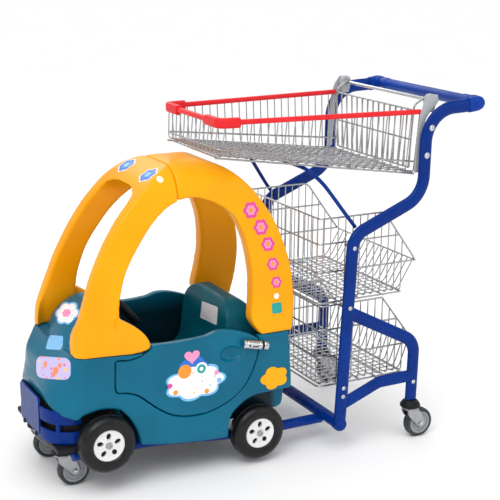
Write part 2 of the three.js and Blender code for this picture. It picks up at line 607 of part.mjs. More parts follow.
function boltRod() {
  const knob = solid(new THREE.CylinderGeometry(BOLT.knobR, BOLT.knobR, 18, 12).translate(-11, -9, 0));
  return placeBolt(join(alongX(BOLT.rodR, -25, 32), knob));
}

function boltKeeper() {
  return placeBolt(cut(alongX(12, 35, 49, 18), alongX(BOLT.boreR, 34, 46)));
}

// ---- the whole trolley ------------------------------------------------------------------------------------------
addPair("side_tube", sideTube(), BLUE);
addPair("rear_leg", rearLeg(), BLUE);
addPair("lower_brace", lowerBrace(), BLUE);
add("foot_tube", footTube(), BLUE);
addPair("chassis_rail", chassisRail(), BLUE);
add("handle_bar", rodAcross(HANDLE_X, HANDLE_Z, HANDLE_BAR_R, -250, 250, 20), CHROME);
add("handle_grip", handleGrip(), BLUE_PLASTIC);
addPair("handle_elbow", handleElbow(), BLUE_PLASTIC);
add("support_rod", supportRod(), BLUE);
add("bumper", bumper(), BLUE);
add("caster_beam", casterBeam(), BLACK);

add("basket_upper", upperBasket(), CHROME);
addPair("rim", rimSide(), RED);
add("rim_front", rimFront(), RED);
addPair("basket_plate", basketPlate(), GREY);
add("gate_rod", rodAcross(ROD.x, ROD.z, ROD.r, -228, 228, 12), CHROME);
addPair("gate_clip", gateClip(), GREY);
add("gate", gate(), CHROME);
add("basket_middle", shelfBasket(MIDDLE, [[229, 615.3], [222, 454]]), CHROME);
add("basket_lower", shelfBasket(LOWER, [[221, 441], [340, 202], [430, 202]]), CHROME);

addCaster("front_left", FRONT_CASTER, -1);
addCaster("front_right", FRONT_CASTER, 1);
addCaster("rear_left", REAR_CASTER, -1);
addCaster("rear_right", REAR_CASTER, 1);

add("car_body", carBody(), TEAL);
add("car_pan", carPan(), BLACK);
add("roof_front", roofFront(), YELLOW);
add("roof_rear", roof(ROOF_SPLIT_X + GAP / 2, 200), YELLOW);
add("seat", seat(), TEAL);
addPair("door", door(), TEAL);
addPair("bolt_barrel", boltBarrel(), CHROME);
addPair("bolt_rod", boltRod(), CHROME);
addPair("bolt_keeper", boltKeeper(), CHROME);
add("steering_wheel", steeringWheel(), YELLOW);
addPair("toy_wheel_front", toyWheel(FRONT_AXLE), BLACK);
addPair("toy_wheel_rear", toyWheel(REAR_AXLE), BLACK);
add("toy_axle_front", toyAxle(FRONT_AXLE, RAIL_FRONT_Z + RAIL_R + GAP), BLACK);
add("toy_axle_rear", toyAxle(REAR_AXLE, RAIL_REAR_Z + RAIL_R + 1), BLACK);

export default parts;
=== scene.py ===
"""Looks of a children's shopping trolley: a moulded toy car on a tubular frame with wire baskets.

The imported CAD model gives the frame, the bodies and the sizes. Lengths below are in millimetres in the
same axes (+X to the handle, -X to the car's nose, +Z up, near side at -Y) and are turned into metres
where a mesh is made. Every left piece has a mirrored right twin.
"""

import math

import bmesh
import bpy
from mathutils import Matrix, Vector
from mathutils.bvhtree import BVHTree


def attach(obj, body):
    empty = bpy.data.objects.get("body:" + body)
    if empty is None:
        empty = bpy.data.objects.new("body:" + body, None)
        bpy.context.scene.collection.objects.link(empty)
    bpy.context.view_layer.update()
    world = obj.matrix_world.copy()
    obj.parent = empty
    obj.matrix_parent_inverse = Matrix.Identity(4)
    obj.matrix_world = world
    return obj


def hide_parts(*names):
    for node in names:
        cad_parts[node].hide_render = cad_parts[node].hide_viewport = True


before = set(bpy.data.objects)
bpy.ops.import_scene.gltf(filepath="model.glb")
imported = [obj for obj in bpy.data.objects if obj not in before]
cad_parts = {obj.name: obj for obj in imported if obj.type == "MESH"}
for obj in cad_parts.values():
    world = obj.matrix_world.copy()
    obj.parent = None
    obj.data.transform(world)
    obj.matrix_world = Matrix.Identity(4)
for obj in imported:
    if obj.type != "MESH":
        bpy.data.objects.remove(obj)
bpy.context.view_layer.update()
MM = 0.001
SHARP_ANGLE = 38  # degrees; flatter edges than this are shaded smooth
SIDES = (("left", -1), ("right", 1))


# ---- camera and studio ----------------------------------------------------------------------------------
def add_camera():
    """The three-quarter view from the near front corner, with a long lens."""
    azimuth, elevation, roll = (math.radians(a) for a in (-27.85, 17.21, 0.45))
    back = Vector((math.sin(azimuth) * math.cos(elevation), -math.cos(azimuth) * math.cos(elevation),
        math.sin(elevation)))
    level = Vector((math.cos(azimuth), math.sin(azimuth), 0))
    above = back.cross(level)
    right = level * math.cos(roll) + above * math.sin(roll)
    up = above * math.cos(roll) - level * math.sin(roll)
    data = bpy.data.cameras.new("camera")
    data.sensor_width, data.lens = 36, 88.04
    data.shift_x, data.shift_y = 0.013, 0.090
    data.clip_start, data.clip_end = 0.1, 60
    camera = bpy.data.objects.new("camera", data)
    camera.matrix_world = Matrix.Translation((-1.5797, -3.0270, 1.4956)) @ Matrix(
        (right, up, back)).transposed().to_4x4()
    bpy.context.scene.collection.objects.link(camera)
    bpy.context.scene.camera = camera


def add_light(name, place, target, size, watts):
    data = bpy.data.lights.new(name, "AREA")
    data.shape, data.size, data.size_y = "RECTANGLE", *size
    data.energy = watts
    light = bpy.data.objects.new(name, data)
    light.location = place
    light.rotation_euler = (Vector(target) - Vector(place)).to_track_quat("-Z", "Y").to_euler()
    bpy.context.scene.collection.objects.link(light)


def add_studio():
    world = bpy.data.worlds.new("studio")
    world.use_nodes = True
    world.node_tree.nodes["Background"].inputs["Color"].default_value = (1, 1, 1, 1)
    world.node_tree.nodes["Background"].inputs["Strength"].default_value = 0.74
    bpy.context.scene.world = world
    bpy.context.scene.view_settings.view_transform = "Standard"
    add_light("key", (-2.4, -2.2, 3.4), (-0.1, 0, 0.4), (1.2, 1.2), 26)
    add_light("fill", (2.4, -2.8, 1.8), (0.1, 0, 0.5), (2.0, 1.2), 9)
    add_light("rim", (0.6, 3.0, 2.6), (0, 0, 0.6), (2.4, 0.8), 14)
    sky = bpy.data.lights.new("ceiling", "SUN")
    sky.energy, sky.angle = 1.15, math.radians(55)
    ceiling = bpy.data.objects.new("ceiling", sky)
    ceiling.rotation_euler = (Vector((0.35, 0.42, -1))).to_track_quat("-Z", "Y").to_euler()
    bpy.context.scene.collection.objects.link(ceiling)
    mesh = bpy.data.meshes.new("floor")
    reach = 45
    mesh.from_pydata([(-reach, -reach, 0), (reach, -reach, 0), (reach, reach, 0), (-reach, reach, 0)], [],
        [(0, 1, 2, 3)])
    floor = bpy.data.objects.new("floor", mesh)
    floor.data.materials.append(MATERIALS["floor"])
    bpy.context.scene.collection.objects.link(floor)


# ---- materials ------------------------------------------------------------------------------------------
MATERIALS = {}


class Nodes:
    """A material's node tree with short ways to add what every finish here uses."""

    def __init__(self, name):
        self.material = bpy.data.materials.new(name)
        self.material.use_nodes = True
        self.tree = self.material.node_tree
        self.shader = self.tree.nodes["Principled BSDF"]
        self.place = self.add("ShaderNodeTexCoord").outputs["Object"]
        MATERIALS[name] = self.material

    def add(self, kind, **settings):
        node = self.tree.nodes.new(kind)
        for key, value in settings.items():
            setattr(node, key, value)
        return node

    def link(self, output, socket):
        self.tree.links.new(output, socket)

    def noise(self, scale, detail=3.0, stretch=None):
        node = self.add("ShaderNodeTexNoise")
        node.inputs["Scale"].default_value = scale
        node.inputs["Detail"].default_value = detail
        source = self.place
        if stretch:
            mapping = self.add("ShaderNodeMapping")
            mapping.inputs["Scale"].default_value = stretch
            self.link(self.place, mapping.inputs["Vector"])
            source = mapping.outputs["Vector"]
        self.link(source, node.inputs["Vector"])
        return node.outputs["Fac"]

    def spread(self, value, low, high, to_low=0.0, to_high=1.0):
        node = self.add("ShaderNodeMapRange")
        node.inputs["From Min"].default_value = low
        node.inputs["From Max"].default_value = high
        node.inputs["To Min"].default_value = to_low
        node.inputs["To Max"].default_value = to_high
        self.link(value, node.inputs["Value"])
        return node.outputs["Result"]

    def math(self, operation, a, b=None):
        node = self.add("ShaderNodeMath", operation=operation)
        for socket, value in zip(node.inputs, (a, b)):
            if value is None:
                continue
            if isinstance(value, (int, float)):
                socket.default_value = value
            else:
                self.link(value, socket)
        return node.outputs["Value"]

    def mix(self, share, a, b):
        node = self.add("ShaderNodeMix", data_type="RGBA")
        for socket, value in ((node.inputs["Factor"], share), (node.inputs[6], a), (node.inputs[7], b)):
            if isinstance(value, (int, float)):
                socket.default_value = value
            elif isinstance(value, tuple):
                socket.default_value = (*value, 1)
            else:
                self.link(value, socket)
        return node.outputs[2]

    def bump(self, height, strength, distance):
        node = self.add("ShaderNodeBump")
        node.inputs["Strength"].default_value = strength
        node.inputs["Distance"].default_value = distance
        self.link(height, node.inputs["Height"])
        if self.shader.inputs["Normal"].is_linked:
            self.link(self.shader.inputs["Normal"].links[0].from_socket, node.inputs["Normal"])
        self.link(node.outputs["Normal"], self.shader.inputs["Normal"])

    def worn_edges(self, amount):
        """1 on sharp outer edges, broken up by noise."""
        edge = self.add("ShaderNodeNewGeometry").outputs["Pointiness"]
        sharp = self.spread(edge, 0.53, 0.62)
        return self.math("MULTIPLY", self.math("MULTIPLY", sharp, self.spread(self.noise(90), 0.42, 0.6)),
            amount)


def srgb(red, green, blue):
    """An 8-bit sRGB colour as linear values."""
    def one(value):
        share = value / 255
        return share / 12.92 if share <= 0.04045 else ((share + 0.055) / 1.055) ** 2.4
    return one(red), one(green), one(blue)


def moulded_plastic(name, colour, shade, roughness, grain=0.25, grain_scale=900, wear=0.25, coat=0.0):
    """Rotomoulded or injection-moulded plastic: cloudy colour, orange peel, fine grain and rubbed edges."""
    n = Nodes(name)
    cloud = n.spread(n.noise(5, 2), 0.3, 0.7)
    tone = n.mix(cloud, shade, colour)
    pale = tuple(min(1, c * 1.35 + 0.03) for c in colour)
    n.link(n.mix(n.worn_edges(wear), tone, pale), n.shader.inputs["Base Color"])
    smear = n.spread(n.noise(14, 5, (1, 1, 2.2)), 0.35, 0.7, roughness - 0.04, roughness + 0.10)
    n.link(smear, n.shader.inputs["Roughness"])
    n.shader.inputs["Specular IOR Level"].default_value = 0.16
    n.shader.inputs["Coat Weight"].default_value = coat
    n.shader.inputs["Coat Roughness"].default_value = 0.12
    n.bump(n.noise(38, 2), 0.12, 0.0012)
    n.bump(n.noise(grain_scale, 2), grain, 0.00012)
    return n


def car_plastic(name, colour, shade, cabin_shade_colour):
    """The car's teal moulding, with painted shade that makes it much darker low inside the unlit cabin."""
    n = moulded_plastic(name, colour, shade, 0.28, coat=0.08)
    axes = n.add("ShaderNodeSeparateXYZ")
    n.link(n.place, axes.inputs["Vector"])
    inside_y = n.spread(n.math("ABSOLUTE", axes.outputs["Y"]), 0.1985, 0.1955)
    behind_dash = n.spread(axes.outputs["X"], -0.446, -0.430)
    before_tail = n.spread(axes.outputs["X"], 0.040, 0.020)
    low = n.spread(axes.outputs["Z"], 0.425, 0.355, 0.0, 0.9)
    # Painted shade: darkens the cabin's inner walls and floor, low down, between the dash and the tail.
    cabin_shade_mask = n.math("MULTIPLY", n.math("MULTIPLY", inside_y, low), n.math("MULTIPLY", behind_dash, before_tail))
    base = n.shader.inputs["Base Color"]
    n.link(n.mix(cabin_shade_mask, base.links[0].from_socket, cabin_shade_colour), base)
    return n


def powder_coat(name, colour, shade):
    """Glossy powder coat on steel: fine orange peel and slight dust."""
    n = Nodes(name)
    tone = n.mix(n.spread(n.noise(7, 3), 0.3, 0.7), shade, colour)
    dust = n.spread(n.noise(26, 6), 0.58, 0.78, 0.0, 0.10)
    n.link(n.mix(dust, tone, (0.03, 0.07, 0.20)), n.shader.inputs["Base Color"])
    n.link(n.spread(n.noise(33, 4), 0.3, 0.7, 0.20, 0.34), n.shader.inputs["Roughness"])
    n.shader.inputs["Specular IOR Level"].default_value = 0.08
    n.shader.inputs["Coat Weight"].default_value = 0.10
    n.shader.inputs["Coat Roughness"].default_value = 0.06
    n.bump(n.noise(260, 2), 0.22, 0.0004)
    return n


def plated_metal(name, colour, roughness, tint=(0.33, 0.33, 0.34), streak=0.5):
    """Plated steel: bright, with faint drawing streaks and dull patches."""
    n = Nodes(name)
    n.shader.inputs["Metallic"].default_value = 1
    patch = n.spread(n.noise(60, 5), 0.5, 0.75, 0.0, 0.45)
    n.link(n.mix(patch, colour, tint), n.shader.inputs["Base Color"])
    n.link(n.spread(n.noise(45, 4), 0.3, 0.7, roughness * 0.7, roughness * 1.5), n.shader.inputs["Roughness"])
    n.bump(n.noise(500, 2, (1, 1, 0.15)), streak * 0.2, 0.0001)
    return n


def rubber(name, colour, shade, roughness=0.55):
    """Moulded rubber or soft plastic with scuffs."""
    n = Nodes(name)
    scuff = n.spread(n.noise(70, 6), 0.5, 0.72, 0.0, 0.7)
    n.shader.inputs["Specular IOR Level"].default_value = 0.3
    n.link(n.mix(scuff, colour, shade), n.shader.inputs["Base Color"])
    n.link(n.spread(n.noise(30, 4), 0.3, 0.7, roughness - 0.08, roughness + 0.14),
        n.shader.inputs["Roughness"])
    n.bump(n.noise(420, 3), 0.3, 0.0003)
    return n


def printed_film(name, colours, scale, ground, roughness=0.25):
    """A glossy sticker: soft round blobs of the given colours over a ground colour."""
    n = Nodes(name)
    tone = ground
    for number, (colour, reach) in enumerate(colours):
        spots = n.add("ShaderNodeTexVoronoi")
        spots.inputs["Scale"].default_value = scale * (1 + 0.23 * number)
        shift = n.add("ShaderNodeMapping")
        shift.inputs["Location"].default_value = (0.37 * number, 0.11, 0.73 * number)
        n.link(n.place, shift.inputs["Vector"])
        n.link(shift.outputs["Vector"], spots.inputs["Vector"])
        tone = n.mix(n.spread(spots.outputs["Distance"], reach, reach - 0.08), tone, colour)
    if isinstance(tone, tuple):
        tone = n.mix(n.spread(n.noise(60), 0.4, 0.7, 0, 0.08), tone, tuple(c * 0.7 for c in ground))
    n.link(tone, n.shader.inputs["Base Color"])
    n.link(n.spread(n.noise(40, 3), 0.3, 0.7, roughness - 0.05, roughness + 0.1),
        n.shader.inputs["Roughness"])
    n.bump(n.noise(300, 2), 0.1, 0.0002)
    return n


STICKER_COLOURS = {"white": (244, 246, 250), "sky": (120, 190, 240), "blue": (30, 110, 205),
    "pink": (244, 150, 196), "magenta": (226, 70, 150), "teal": (10, 160, 150), "orange": (246, 150, 40)}


def make_materials():
    # The third colour is painted shade for the inside of the cabin.
    car_plastic("car_teal", srgb(0, 106, 136), srgb(0, 92, 120), srgb(8, 26, 32))
    moulded_plastic("seat_teal", srgb(0, 92, 110), srgb(0, 74, 92), 0.34)
    moulded_plastic("roof_yellow", srgb(252, 172, 4), srgb(246, 158, 0), 0.32, coat=0.08)
    moulded_plastic("badge_yellow", srgb(250, 182, 24), srgb(244, 168, 12), 0.38)
    powder_coat("frame_blue", srgb(0, 50, 136), srgb(0, 40, 116))
    moulded_plastic("grip_blue", srgb(4, 64, 164), srgb(0, 50, 142), 0.38, grain=0.4)
    moulded_plastic("rim_red", srgb(232, 44, 50), srgb(214, 30, 38), 0.36)
    moulded_plastic("grey_plastic", srgb(182, 186, 190), srgb(166, 170, 174), 0.42)
    moulded_plastic("black_plastic", srgb(28, 29, 32), srgb(20, 21, 23), 0.46, grain=0.4)
    moulded_plastic("hub_white", srgb(238, 238, 236), srgb(226, 227, 226), 0.34, wear=0.0)
    moulded_plastic("cap_white", srgb(244, 236, 214), srgb(236, 226, 200), 0.4, wear=0.0)
    plated_metal("chrome_wire", (0.42, 0.42, 0.43), 0.22, (0.16, 0.15, 0.14))
    plated_metal("bright_steel", (0.60, 0.61, 0.63), 0.16)
    plated_metal("fork_steel", (0.40, 0.41, 0.42), 0.34, (0.22, 0.22, 0.22), streak=1.0)
    rubber("toy_tyre", srgb(14, 14, 16), srgb(30, 31, 33), 0.30)
    rubber("caster_tread", srgb(52, 54, 58), srgb(84, 86, 90), 0.6)
    rubber("caster_core", srgb(150, 153, 158), srgb(120, 123, 128), 0.45)
    for colour, shade in STICKER_COLOURS.items():
        printed_film(f"sticker_{colour}", [], 40, srgb(*shade))
    printed_film("sticker_band", [(srgb(246, 140, 90), 0.34), (srgb(250, 200, 60), 0.25),
        (srgb(240, 110, 150), 0.22)], 30, srgb(196, 186, 236))
    printed_film("sticker_cloud", [(srgb(250, 214, 120), 0.16), (srgb(180, 220, 250), 0.2),
        (srgb(246, 190, 216), 0.15)], 34, srgb(246, 248, 252))
    printed_film("label_paper", [(srgb(196, 198, 204), 0.2)], 120, srgb(222, 224, 230), 0.5)
    floor = Nodes("floor")
    tone = floor.mix(floor.spread(floor.noise(2, 3), 0.3, 0.7), srgb(253, 253, 253), srgb(250, 250, 250))
    floor.link(tone, floor.shader.inputs["Base Color"])
    floor.shader.inputs["Roughness"].default_value = 0.7


def piece(name, verts, faces, material, body="trolley", nodes=(), slot=None):
    """A finished visual piece: its mesh in millimetres, its material, its body and what it stands for.

    The `slot` argument is not used.
    """
    mesh = bpy.data.meshes.new(name)
    mesh.from_pydata([Vector(v) * MM for v in verts], [], faces)
    return from_mesh(name, mesh, material, body, nodes, slot)


def from_mesh(name, mesh, material, body="trolley", nodes=(), slot=None):
    tidy = bmesh.new()
    tidy.from_mesh(mesh)
    bmesh.ops.recalc_face_normals(tidy, faces=tidy.faces)
    tidy.to_mesh(mesh)
    tidy.free()
    mesh.name = name
    mesh.materials.clear()
    mesh.materials.append(MATERIALS[material])
    mesh.shade_smooth()
    mesh.set_sharp_from_angle(angle=math.radians(SHARP_ANGLE))
    thing = bpy.data.objects.new(name, mesh)
    bpy.context.scene.collection.objects.link(thing)
    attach(thing, body)
    if nodes:
        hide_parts(*nodes)


def skin(rings, wrap=False, caps=True):
    """Faces over a row of rings that all have the same number of points."""
    size = len(rings[0])
    verts = [p for ring in rings for p in ring]
    faces = []
    for i in range(len(rings) if wrap else len(rings) - 1):
        a, b = i * size, (i + 1) % len(rings) * size
        for k in range(size):
            m = (k + 1) % size
            faces.append((a + k, a + m, b + m, b + k))
    if caps and not wrap:
        faces.append(tuple(range(size)))
        faces.append(tuple(range(len(verts) - size, len(verts))))
    return verts, faces


def merge(shapes):
    verts, faces = [], []
    for more, lines in shapes:
        start = len(verts)
        verts.extend(more)
        faces.extend(tuple(i + start for i in face) for face in lines)
    return verts, faces


def mirrored(shape):
    verts, faces = shape
    return [(x, -y, z) for x, y, z in verts], [tuple(reversed(face)) for face in faces]


def on_side(shape, side):
    """A shape modelled on the left, at -Y, put on the named side."""
    return shape if side < 0 else mirrored(shape)


def filleted(points, radius, steps=6):
    """A polyline through 3-D points with every corner rounded."""
    points = [Vector(p) for p in points]
    line = [points[0]]
    for before, here, after in zip(points, points[1:], points[2:]):
        to_before, to_after = (before - here), (after - here)
        reach = min(radius, to_before.length * 0.48, to_after.length * 0.48)
        start = here + to_before.normalized() * reach
        end = here + to_after.normalized() * reach
        for k in range(steps + 1):
            t = k / steps
            line.append(start * (1 - t) ** 2 + here * 2 * t * (1 - t) + end * t ** 2)
    line.append(points[-1])
    return line


def swept(line, section, flat=None):
    """A section of (side, up) points carried along a line; `flat` is a fixed side direction."""
    line = [Vector(p) for p in line]
    rings, side = [], Vector(flat) if flat else None
    for i, here in enumerate(line):
        way = (line[min(i + 1, len(line) - 1)] - line[max(i - 1, 0)]).normalized()
        if flat is None:
            guess = side if side else (Vector((0, 0, 1)) if abs(way.z) < 0.9 else Vector((0, 1, 0)))
            side = (guess - way * guess.dot(way)).normalized()
        up = way.cross(side).normalized()
        rings.append([here + side * a + up * b for a, b in section])
    return skin(rings)


def turns(count):
    return [2 * math.pi * k / count for k in range(count)]


def circle(radius, sides, centre=(0, 0)):
    return [(centre[0] + radius * math.cos(a), centre[1] + radius * math.sin(a)) for a in turns(sides)]


def rounded_box(width, height, radius, steps=5):
    """The outline of a rectangle with round corners, centred on 0."""
    points = []
    for corner, (sx, sy) in enumerate(((1, 1), (-1, 1), (-1, -1), (1, -1))):
        for k in range(steps + 1):
            angle = math.pi / 2 * (corner + k / steps)
            points.append((sx * (width / 2 - radius) + radius * math.cos(angle),
                sy * (height / 2 - radius) + radius * math.sin(angle)))
    return points


def tube(points, radius, bend=0, sides=10, steps=5):
    line = filleted(points, bend, steps) if bend else points
    return swept(line, circle(radius, sides))


def wires(runs, radius, bend=0, sides=8, steps=3):
    return merge([tube(run, radius, bend, sides, steps) for run in runs])


def lathed(profile, steps, centre, axis="y"):
    """A closed ring, or a solid whose profile starts and ends on the axis, from (radius, along) points."""
    rings = []
    for angle in turns(steps):
        c, s = math.cos(angle), math.sin(angle)
        if axis == "y":
            rings.append([Vector(centre) + Vector((r * c, a, r * s)) for r, a in profile])
        elif axis == "z":
            rings.append([Vector(centre) + Vector((r * c, r * s, a)) for r, a in profile])
        else:
            rings.append([Vector(centre) + Vector((a, r * c, r * s)) for r, a in profile])
    return skin(rings, wrap=True)


def curve(points, steps=6, closed=True):
    """A smooth outline through points. A point with a third value is a corner."""
    flat = [Vector(p[:2]) for p in points]
    corner = [len(p) > 2 for p in points]
    count = len(points)
    out = []
    for i in range(count if closed else count - 1):
        j = (i + 1) % count
        a, b = flat[i], flat[j]
        span = (b - a).length

        def slope(k, sharp):
            before, after = flat[(k - 1) % count], flat[(k + 1) % count]
            at_end = not closed and k in (0, count - 1)
            if sharp or at_end:
                return b - a
            whole = (flat[k] - before).length + (after - flat[k]).length
            return (after - before) / whole * span
        m, n = slope(i, corner[i]), slope(j, corner[j])
        for k in range(steps):
            t = k / steps
            out.append(tuple(a * (2 * t ** 3 - 3 * t ** 2 + 1) + m * (t ** 3 - 2 * t ** 2 + t)
                + b * (3 * t ** 2 - 2 * t ** 3) + n * (t ** 3 - t ** 2)))
    if not closed:
        out.append(tuple(flat[-1]))
    return out


def prism(outline, axis, low, high):
    """An outline in the plane across `axis`, extruded from low to high."""
    place = {"x": lambda a, b, c: (c, a, b), "y": lambda a, b, c: (a, c, b), "z": lambda a, b, c: (a, b, c)}[
        axis]
    return skin([[place(a, b, level) for a, b in outline] for level in (low, high)])


def box(x0, x1, y0, y1, z0, z1):
    return prism([(x0, z0), (x1, z0), (x1, z1), (x0, z1)], "y", y0, y1)


# ---- solids that are joined, cut and softened like mouldings --------------------------------------------
def temporary(shape):
    mesh = bpy.data.meshes.new("temporary")
    mesh.from_pydata([Vector(v) * MM for v in shape[0]], [], shape[1])
    tidy = bmesh.new()
    tidy.from_mesh(mesh)
    bmesh.ops.recalc_face_normals(tidy, faces=tidy.faces)
    bmesh.ops.triangulate(tidy, faces=tidy.faces)
    tidy.to_mesh(mesh)
    tidy.free()
    thing = bpy.data.objects.new("temporary", mesh)
    bpy.context.scene.collection.objects.link(thing)
    return thing


def moulded(base, steps, voxel=None, rounds=0):
    """The base shape with (operation, shape) steps applied, remeshed at `voxel` mm and smoothed."""
    thing = temporary(base)
    tools = []
    for operation, shape in steps:
        tool = temporary(shape)
        tools.append(tool)
        modifier = thing.modifiers.new(operation, "BOOLEAN")
        modifier.operation, modifier.object, modifier.solver = operation, tool, "MANIFOLD"
    if voxel:
        remesh = thing.modifiers.new("remesh", "REMESH")
        remesh.mode, remesh.voxel_size = "VOXEL", voxel * MM
    if rounds:
        soften = thing.modifiers.new("soften", "SMOOTH")
        soften.factor, soften.iterations = 0.5, rounds
    bpy.context.view_layer.update()
    graph = bpy.context.evaluated_depsgraph_get()
    mesh = bpy.data.meshes.new_from_object(thing.evaluated_get(graph))
    for extra in (thing, *tools):
        data = extra.data
        bpy.data.objects.remove(extra)
        bpy.data.meshes.remove(data)
    return mesh


def reshaped(mesh, change):
    """Moves every vertex by a function of its place in millimetres."""
    for vertex in mesh.vertices:
        vertex.co = Vector(change(*(vertex.co / MM))) * MM
    return mesh


def eased(value, low, high):
    t = min(1, max(0, (value - low) / (high - low)))
    return t * t * (3 - 2 * t)


def twin_places(side, node, body):
    return f"{body}_{side}" if body else "trolley", [f"{node}_{side}"] if node else ()


def pair(name, shape, material, node=None, body=None, slot=None):
    """A left piece and its mirrored right twin. Names, nodes and bodies end in the side."""
    for side, s in SIDES:
        piece(f"{name}_{side}", *on_side(shape, s), material, *twin_places(side, node, body), slot)


def moulded_pair(name, base, steps, voxel, rounds, material, node=None, body=None, change=None):
    """The same for a shape that is cut and softened like a moulding."""
    for side, s in SIDES:
        sided = [(operation, on_side(shape, s)) for operation, shape in steps]
        mesh = moulded(on_side(base, s), sided, voxel, rounds)
        if change:
            reshaped(mesh, change)
        from_mesh(f"{name}_{side}", mesh, material, *twin_places(side, node, body))


# ---- frame ----------------------------------------------------------------------------------------------
SIDE_Y = 254
SIDE_LINE = [(606, 989, 0), (461, 984, 95), (459, 742, 86), (230, 648, 60), (204, 92, 0)]
LEG_LINE = [(228, 423, 0), (455, 304, 60), (452, 122, 0)]
BRACE_LINE = [(208, 147, 0), (336, 196, 50), (450, 197, 0)]
RAIL_Y, RAIL_R = 155, 15
SMALL_BOLTS = [(208, 202), (207, 176), (452, 180), (229, 615), (221, 441)]


def bent_line(path, y):
    """A centre line through (x, z, bend radius) points with true arcs, at one y."""
    line = []
    for i, (x, z, radius) in enumerate(path):
        here = Vector((x, z))
        if not radius:
            line.append(here)
            continue
        before = (Vector(path[i - 1][:2]) - here).normalized()
        after = (Vector(path[i + 1][:2]) - here).normalized()
        half = before.angle(after) / 2
        centre = here + (before + after).normalized() * (radius / math.sin(half))
        reach = radius / math.tan(half)
        start, end = here + before * reach - centre, here + after * reach - centre
        sweep = math.atan2(start.x * end.y - start.y * end.x, start.dot(end))
        steps = max(6, int(abs(sweep) / 0.06))
        for k in range(steps + 1):
            angle = sweep * k / steps
            turned = Vector((start.x * math.cos(angle) - start.y * math.sin(angle),
                start.x * math.sin(angle) + start.y * math.cos(angle)))
            line.append(centre + turned)
    return [Vector((p.x, y, p.y)) for p in line]


def oval_tube(path, wide=38, narrow=20):
    """A flat-oval tube whose wide faces are slightly crowned."""
    section = []
    for angle in turns(40):
        c, s = math.cos(angle), math.sin(angle)
        section.append((narrow / 2 * math.copysign(abs(c) ** 0.86, c),
            wide / 2 * math.copysign(abs(s) ** 0.72, s)))
    return swept(bent_line(path, -SIDE_Y), section, flat=(0, 1, 0))


def bolt_head(x, y, z, radius=6.5, height=4.5):
    """A domed screw head with a washer, facing -Y."""
    profile = [(0, 0), (radius * 1.35, 0), (radius * 1.35, 1.2), (radius, 1.3),
        (radius * 0.92, height * 0.55), (radius * 0.62, height * 0.9), (radius * 0.3, height),
        (radius * 0.28, height * 0.5), (0, height * 0.5)]
    return lathed([(r, -a) for r, a in profile], 20, (x, y, z))


def add_frame():
    pair("side_tube_skin", oval_tube(SIDE_LINE), "frame_blue", "side_tube")
    pair("rear_leg_skin", oval_tube(LEG_LINE, 37, 18.8), "frame_blue", "rear_leg")
    pair("lower_brace_skin", oval_tube(BRACE_LINE, 36, 18.4), "frame_blue", "lower_brace")
    rail_line = [(200, 72), (-60, 72), (-350, 108), (-578, 108)]
    rail = tube([(x, -RAIL_Y, z) for x, z in rail_line], RAIL_R, 140, 20, 14)
    pair("chassis_rail_skin", rail, "frame_blue", "chassis_rail")
    face = -SIDE_Y - 10
    bolts = [bolt_head(x, face, z) for x, z in ((471, 935), (459, 858))]
    bolts += [bolt_head(x, face, z, 4.5, 3.5) for x, z in SMALL_BOLTS]
    pair("frame_bolts", merge(bolts), "bright_steel")
    foot = [(0, -266.5), (12, -266.5), (18, -264.5), (20.5, -259), (20.5, -243), (18, -240)]
    foot += [(r, -y) for r, y in reversed(foot)]
    piece("foot_tube_skin", *lathed(foot, 32, (204, 0, 88)), "frame_blue", nodes=["foot_tube"])
    half = [(247, -235, 668), (220, -232, 702), (152, -214, 796), (118, -190, 832), (110, -150, 838)]
    rod = tube(half + [(x, -y, z) for x, y, z in reversed(half)], 5.5, 30, 12, 6)
    piece("support_rod_skin", *rod, "frame_blue", nodes=["support_rod"])


HANDLE_X, HANDLE_Z = 632, 994


def add_handle():
    x, z = HANDLE_X, HANDLE_Z
    ribs = [(12.9, -227)]
    for y in (-227, 191):
        ribs += [(17.0, y + 1), (18.6, y + 3), (18.6, y + 32), (16.6, y + 35)]
    ribs += [(12.9, 227)]
    piece("handle_grip_skin", *lathed(ribs, 36, (x, 0, z)), "grip_blue", nodes=["handle_grip", "handle_bar"])
    cap = lathed([(0, -273), (10, -273), (16, -270), (19.4, -264), (20.3, -256), (20.3, -231), (19, -228),
        (0, -228)], 32, (x, 0, z))
    socket = swept([(634, -SIDE_Y, 993), (600, -SIDE_Y, 989)], rounded_box(26, 42, 9), flat=(0, 1, 0))
    seam = lathed([(20.3, -244.6), (20.8, -244), (20.8, -242.6), (20.3, -242)], 32, (x, 0, z))
    moulded_pair("handle_elbow_skin", cap, [("UNION", socket)], 1.6, 5, "grip_blue", "handle_elbow")
    pair("handle_elbow_seam", seam, "black_plastic", slot="grip_blue")


def add_bumper():
    plate = prism(rounded_box(152, 107, 12), "x", -642, -636)
    plate = ([(x, y, z + 203.5) for x, y, z in plate[0]], plate[1])
    bend = curve([(-638, 40), (-637, 70), (-632, 100), (-620, 128), (-600, 148), (-575, 158), (-552, 160)], 6,
        closed=False)
    shapes = [plate]
    for low, high in ((198, 236), (142, 178)):
        line = [(x, -y, (low + high) / 2) for x, y in bend]
        bar = swept(line, [(b, a) for a, b in rounded_box(7, high - low, 3.2)], flat=(0, 0, 1))
        shapes += [bar, mirrored(bar)]
    post = tube([(-608, -138, 150), (-608, -138, 210)], 7, sides=12)
    tongue = box(-638, -560, -62, -38, 141, 150)
    shapes += [post, mirrored(post), tongue, mirrored(tongue)]
    piece("bumper_skin", *merge(shapes), "frame_blue", nodes=["bumper"])
    studs = [lathed([(0, -646), (5, -645), (7, -643), (7, -641), (0, -641)], 18, (0, y, 146), "x")
        for y in (-50, 50)]
    piece("bumper_bolts", *merge(studs), "black_plastic", slot="frame_blue")


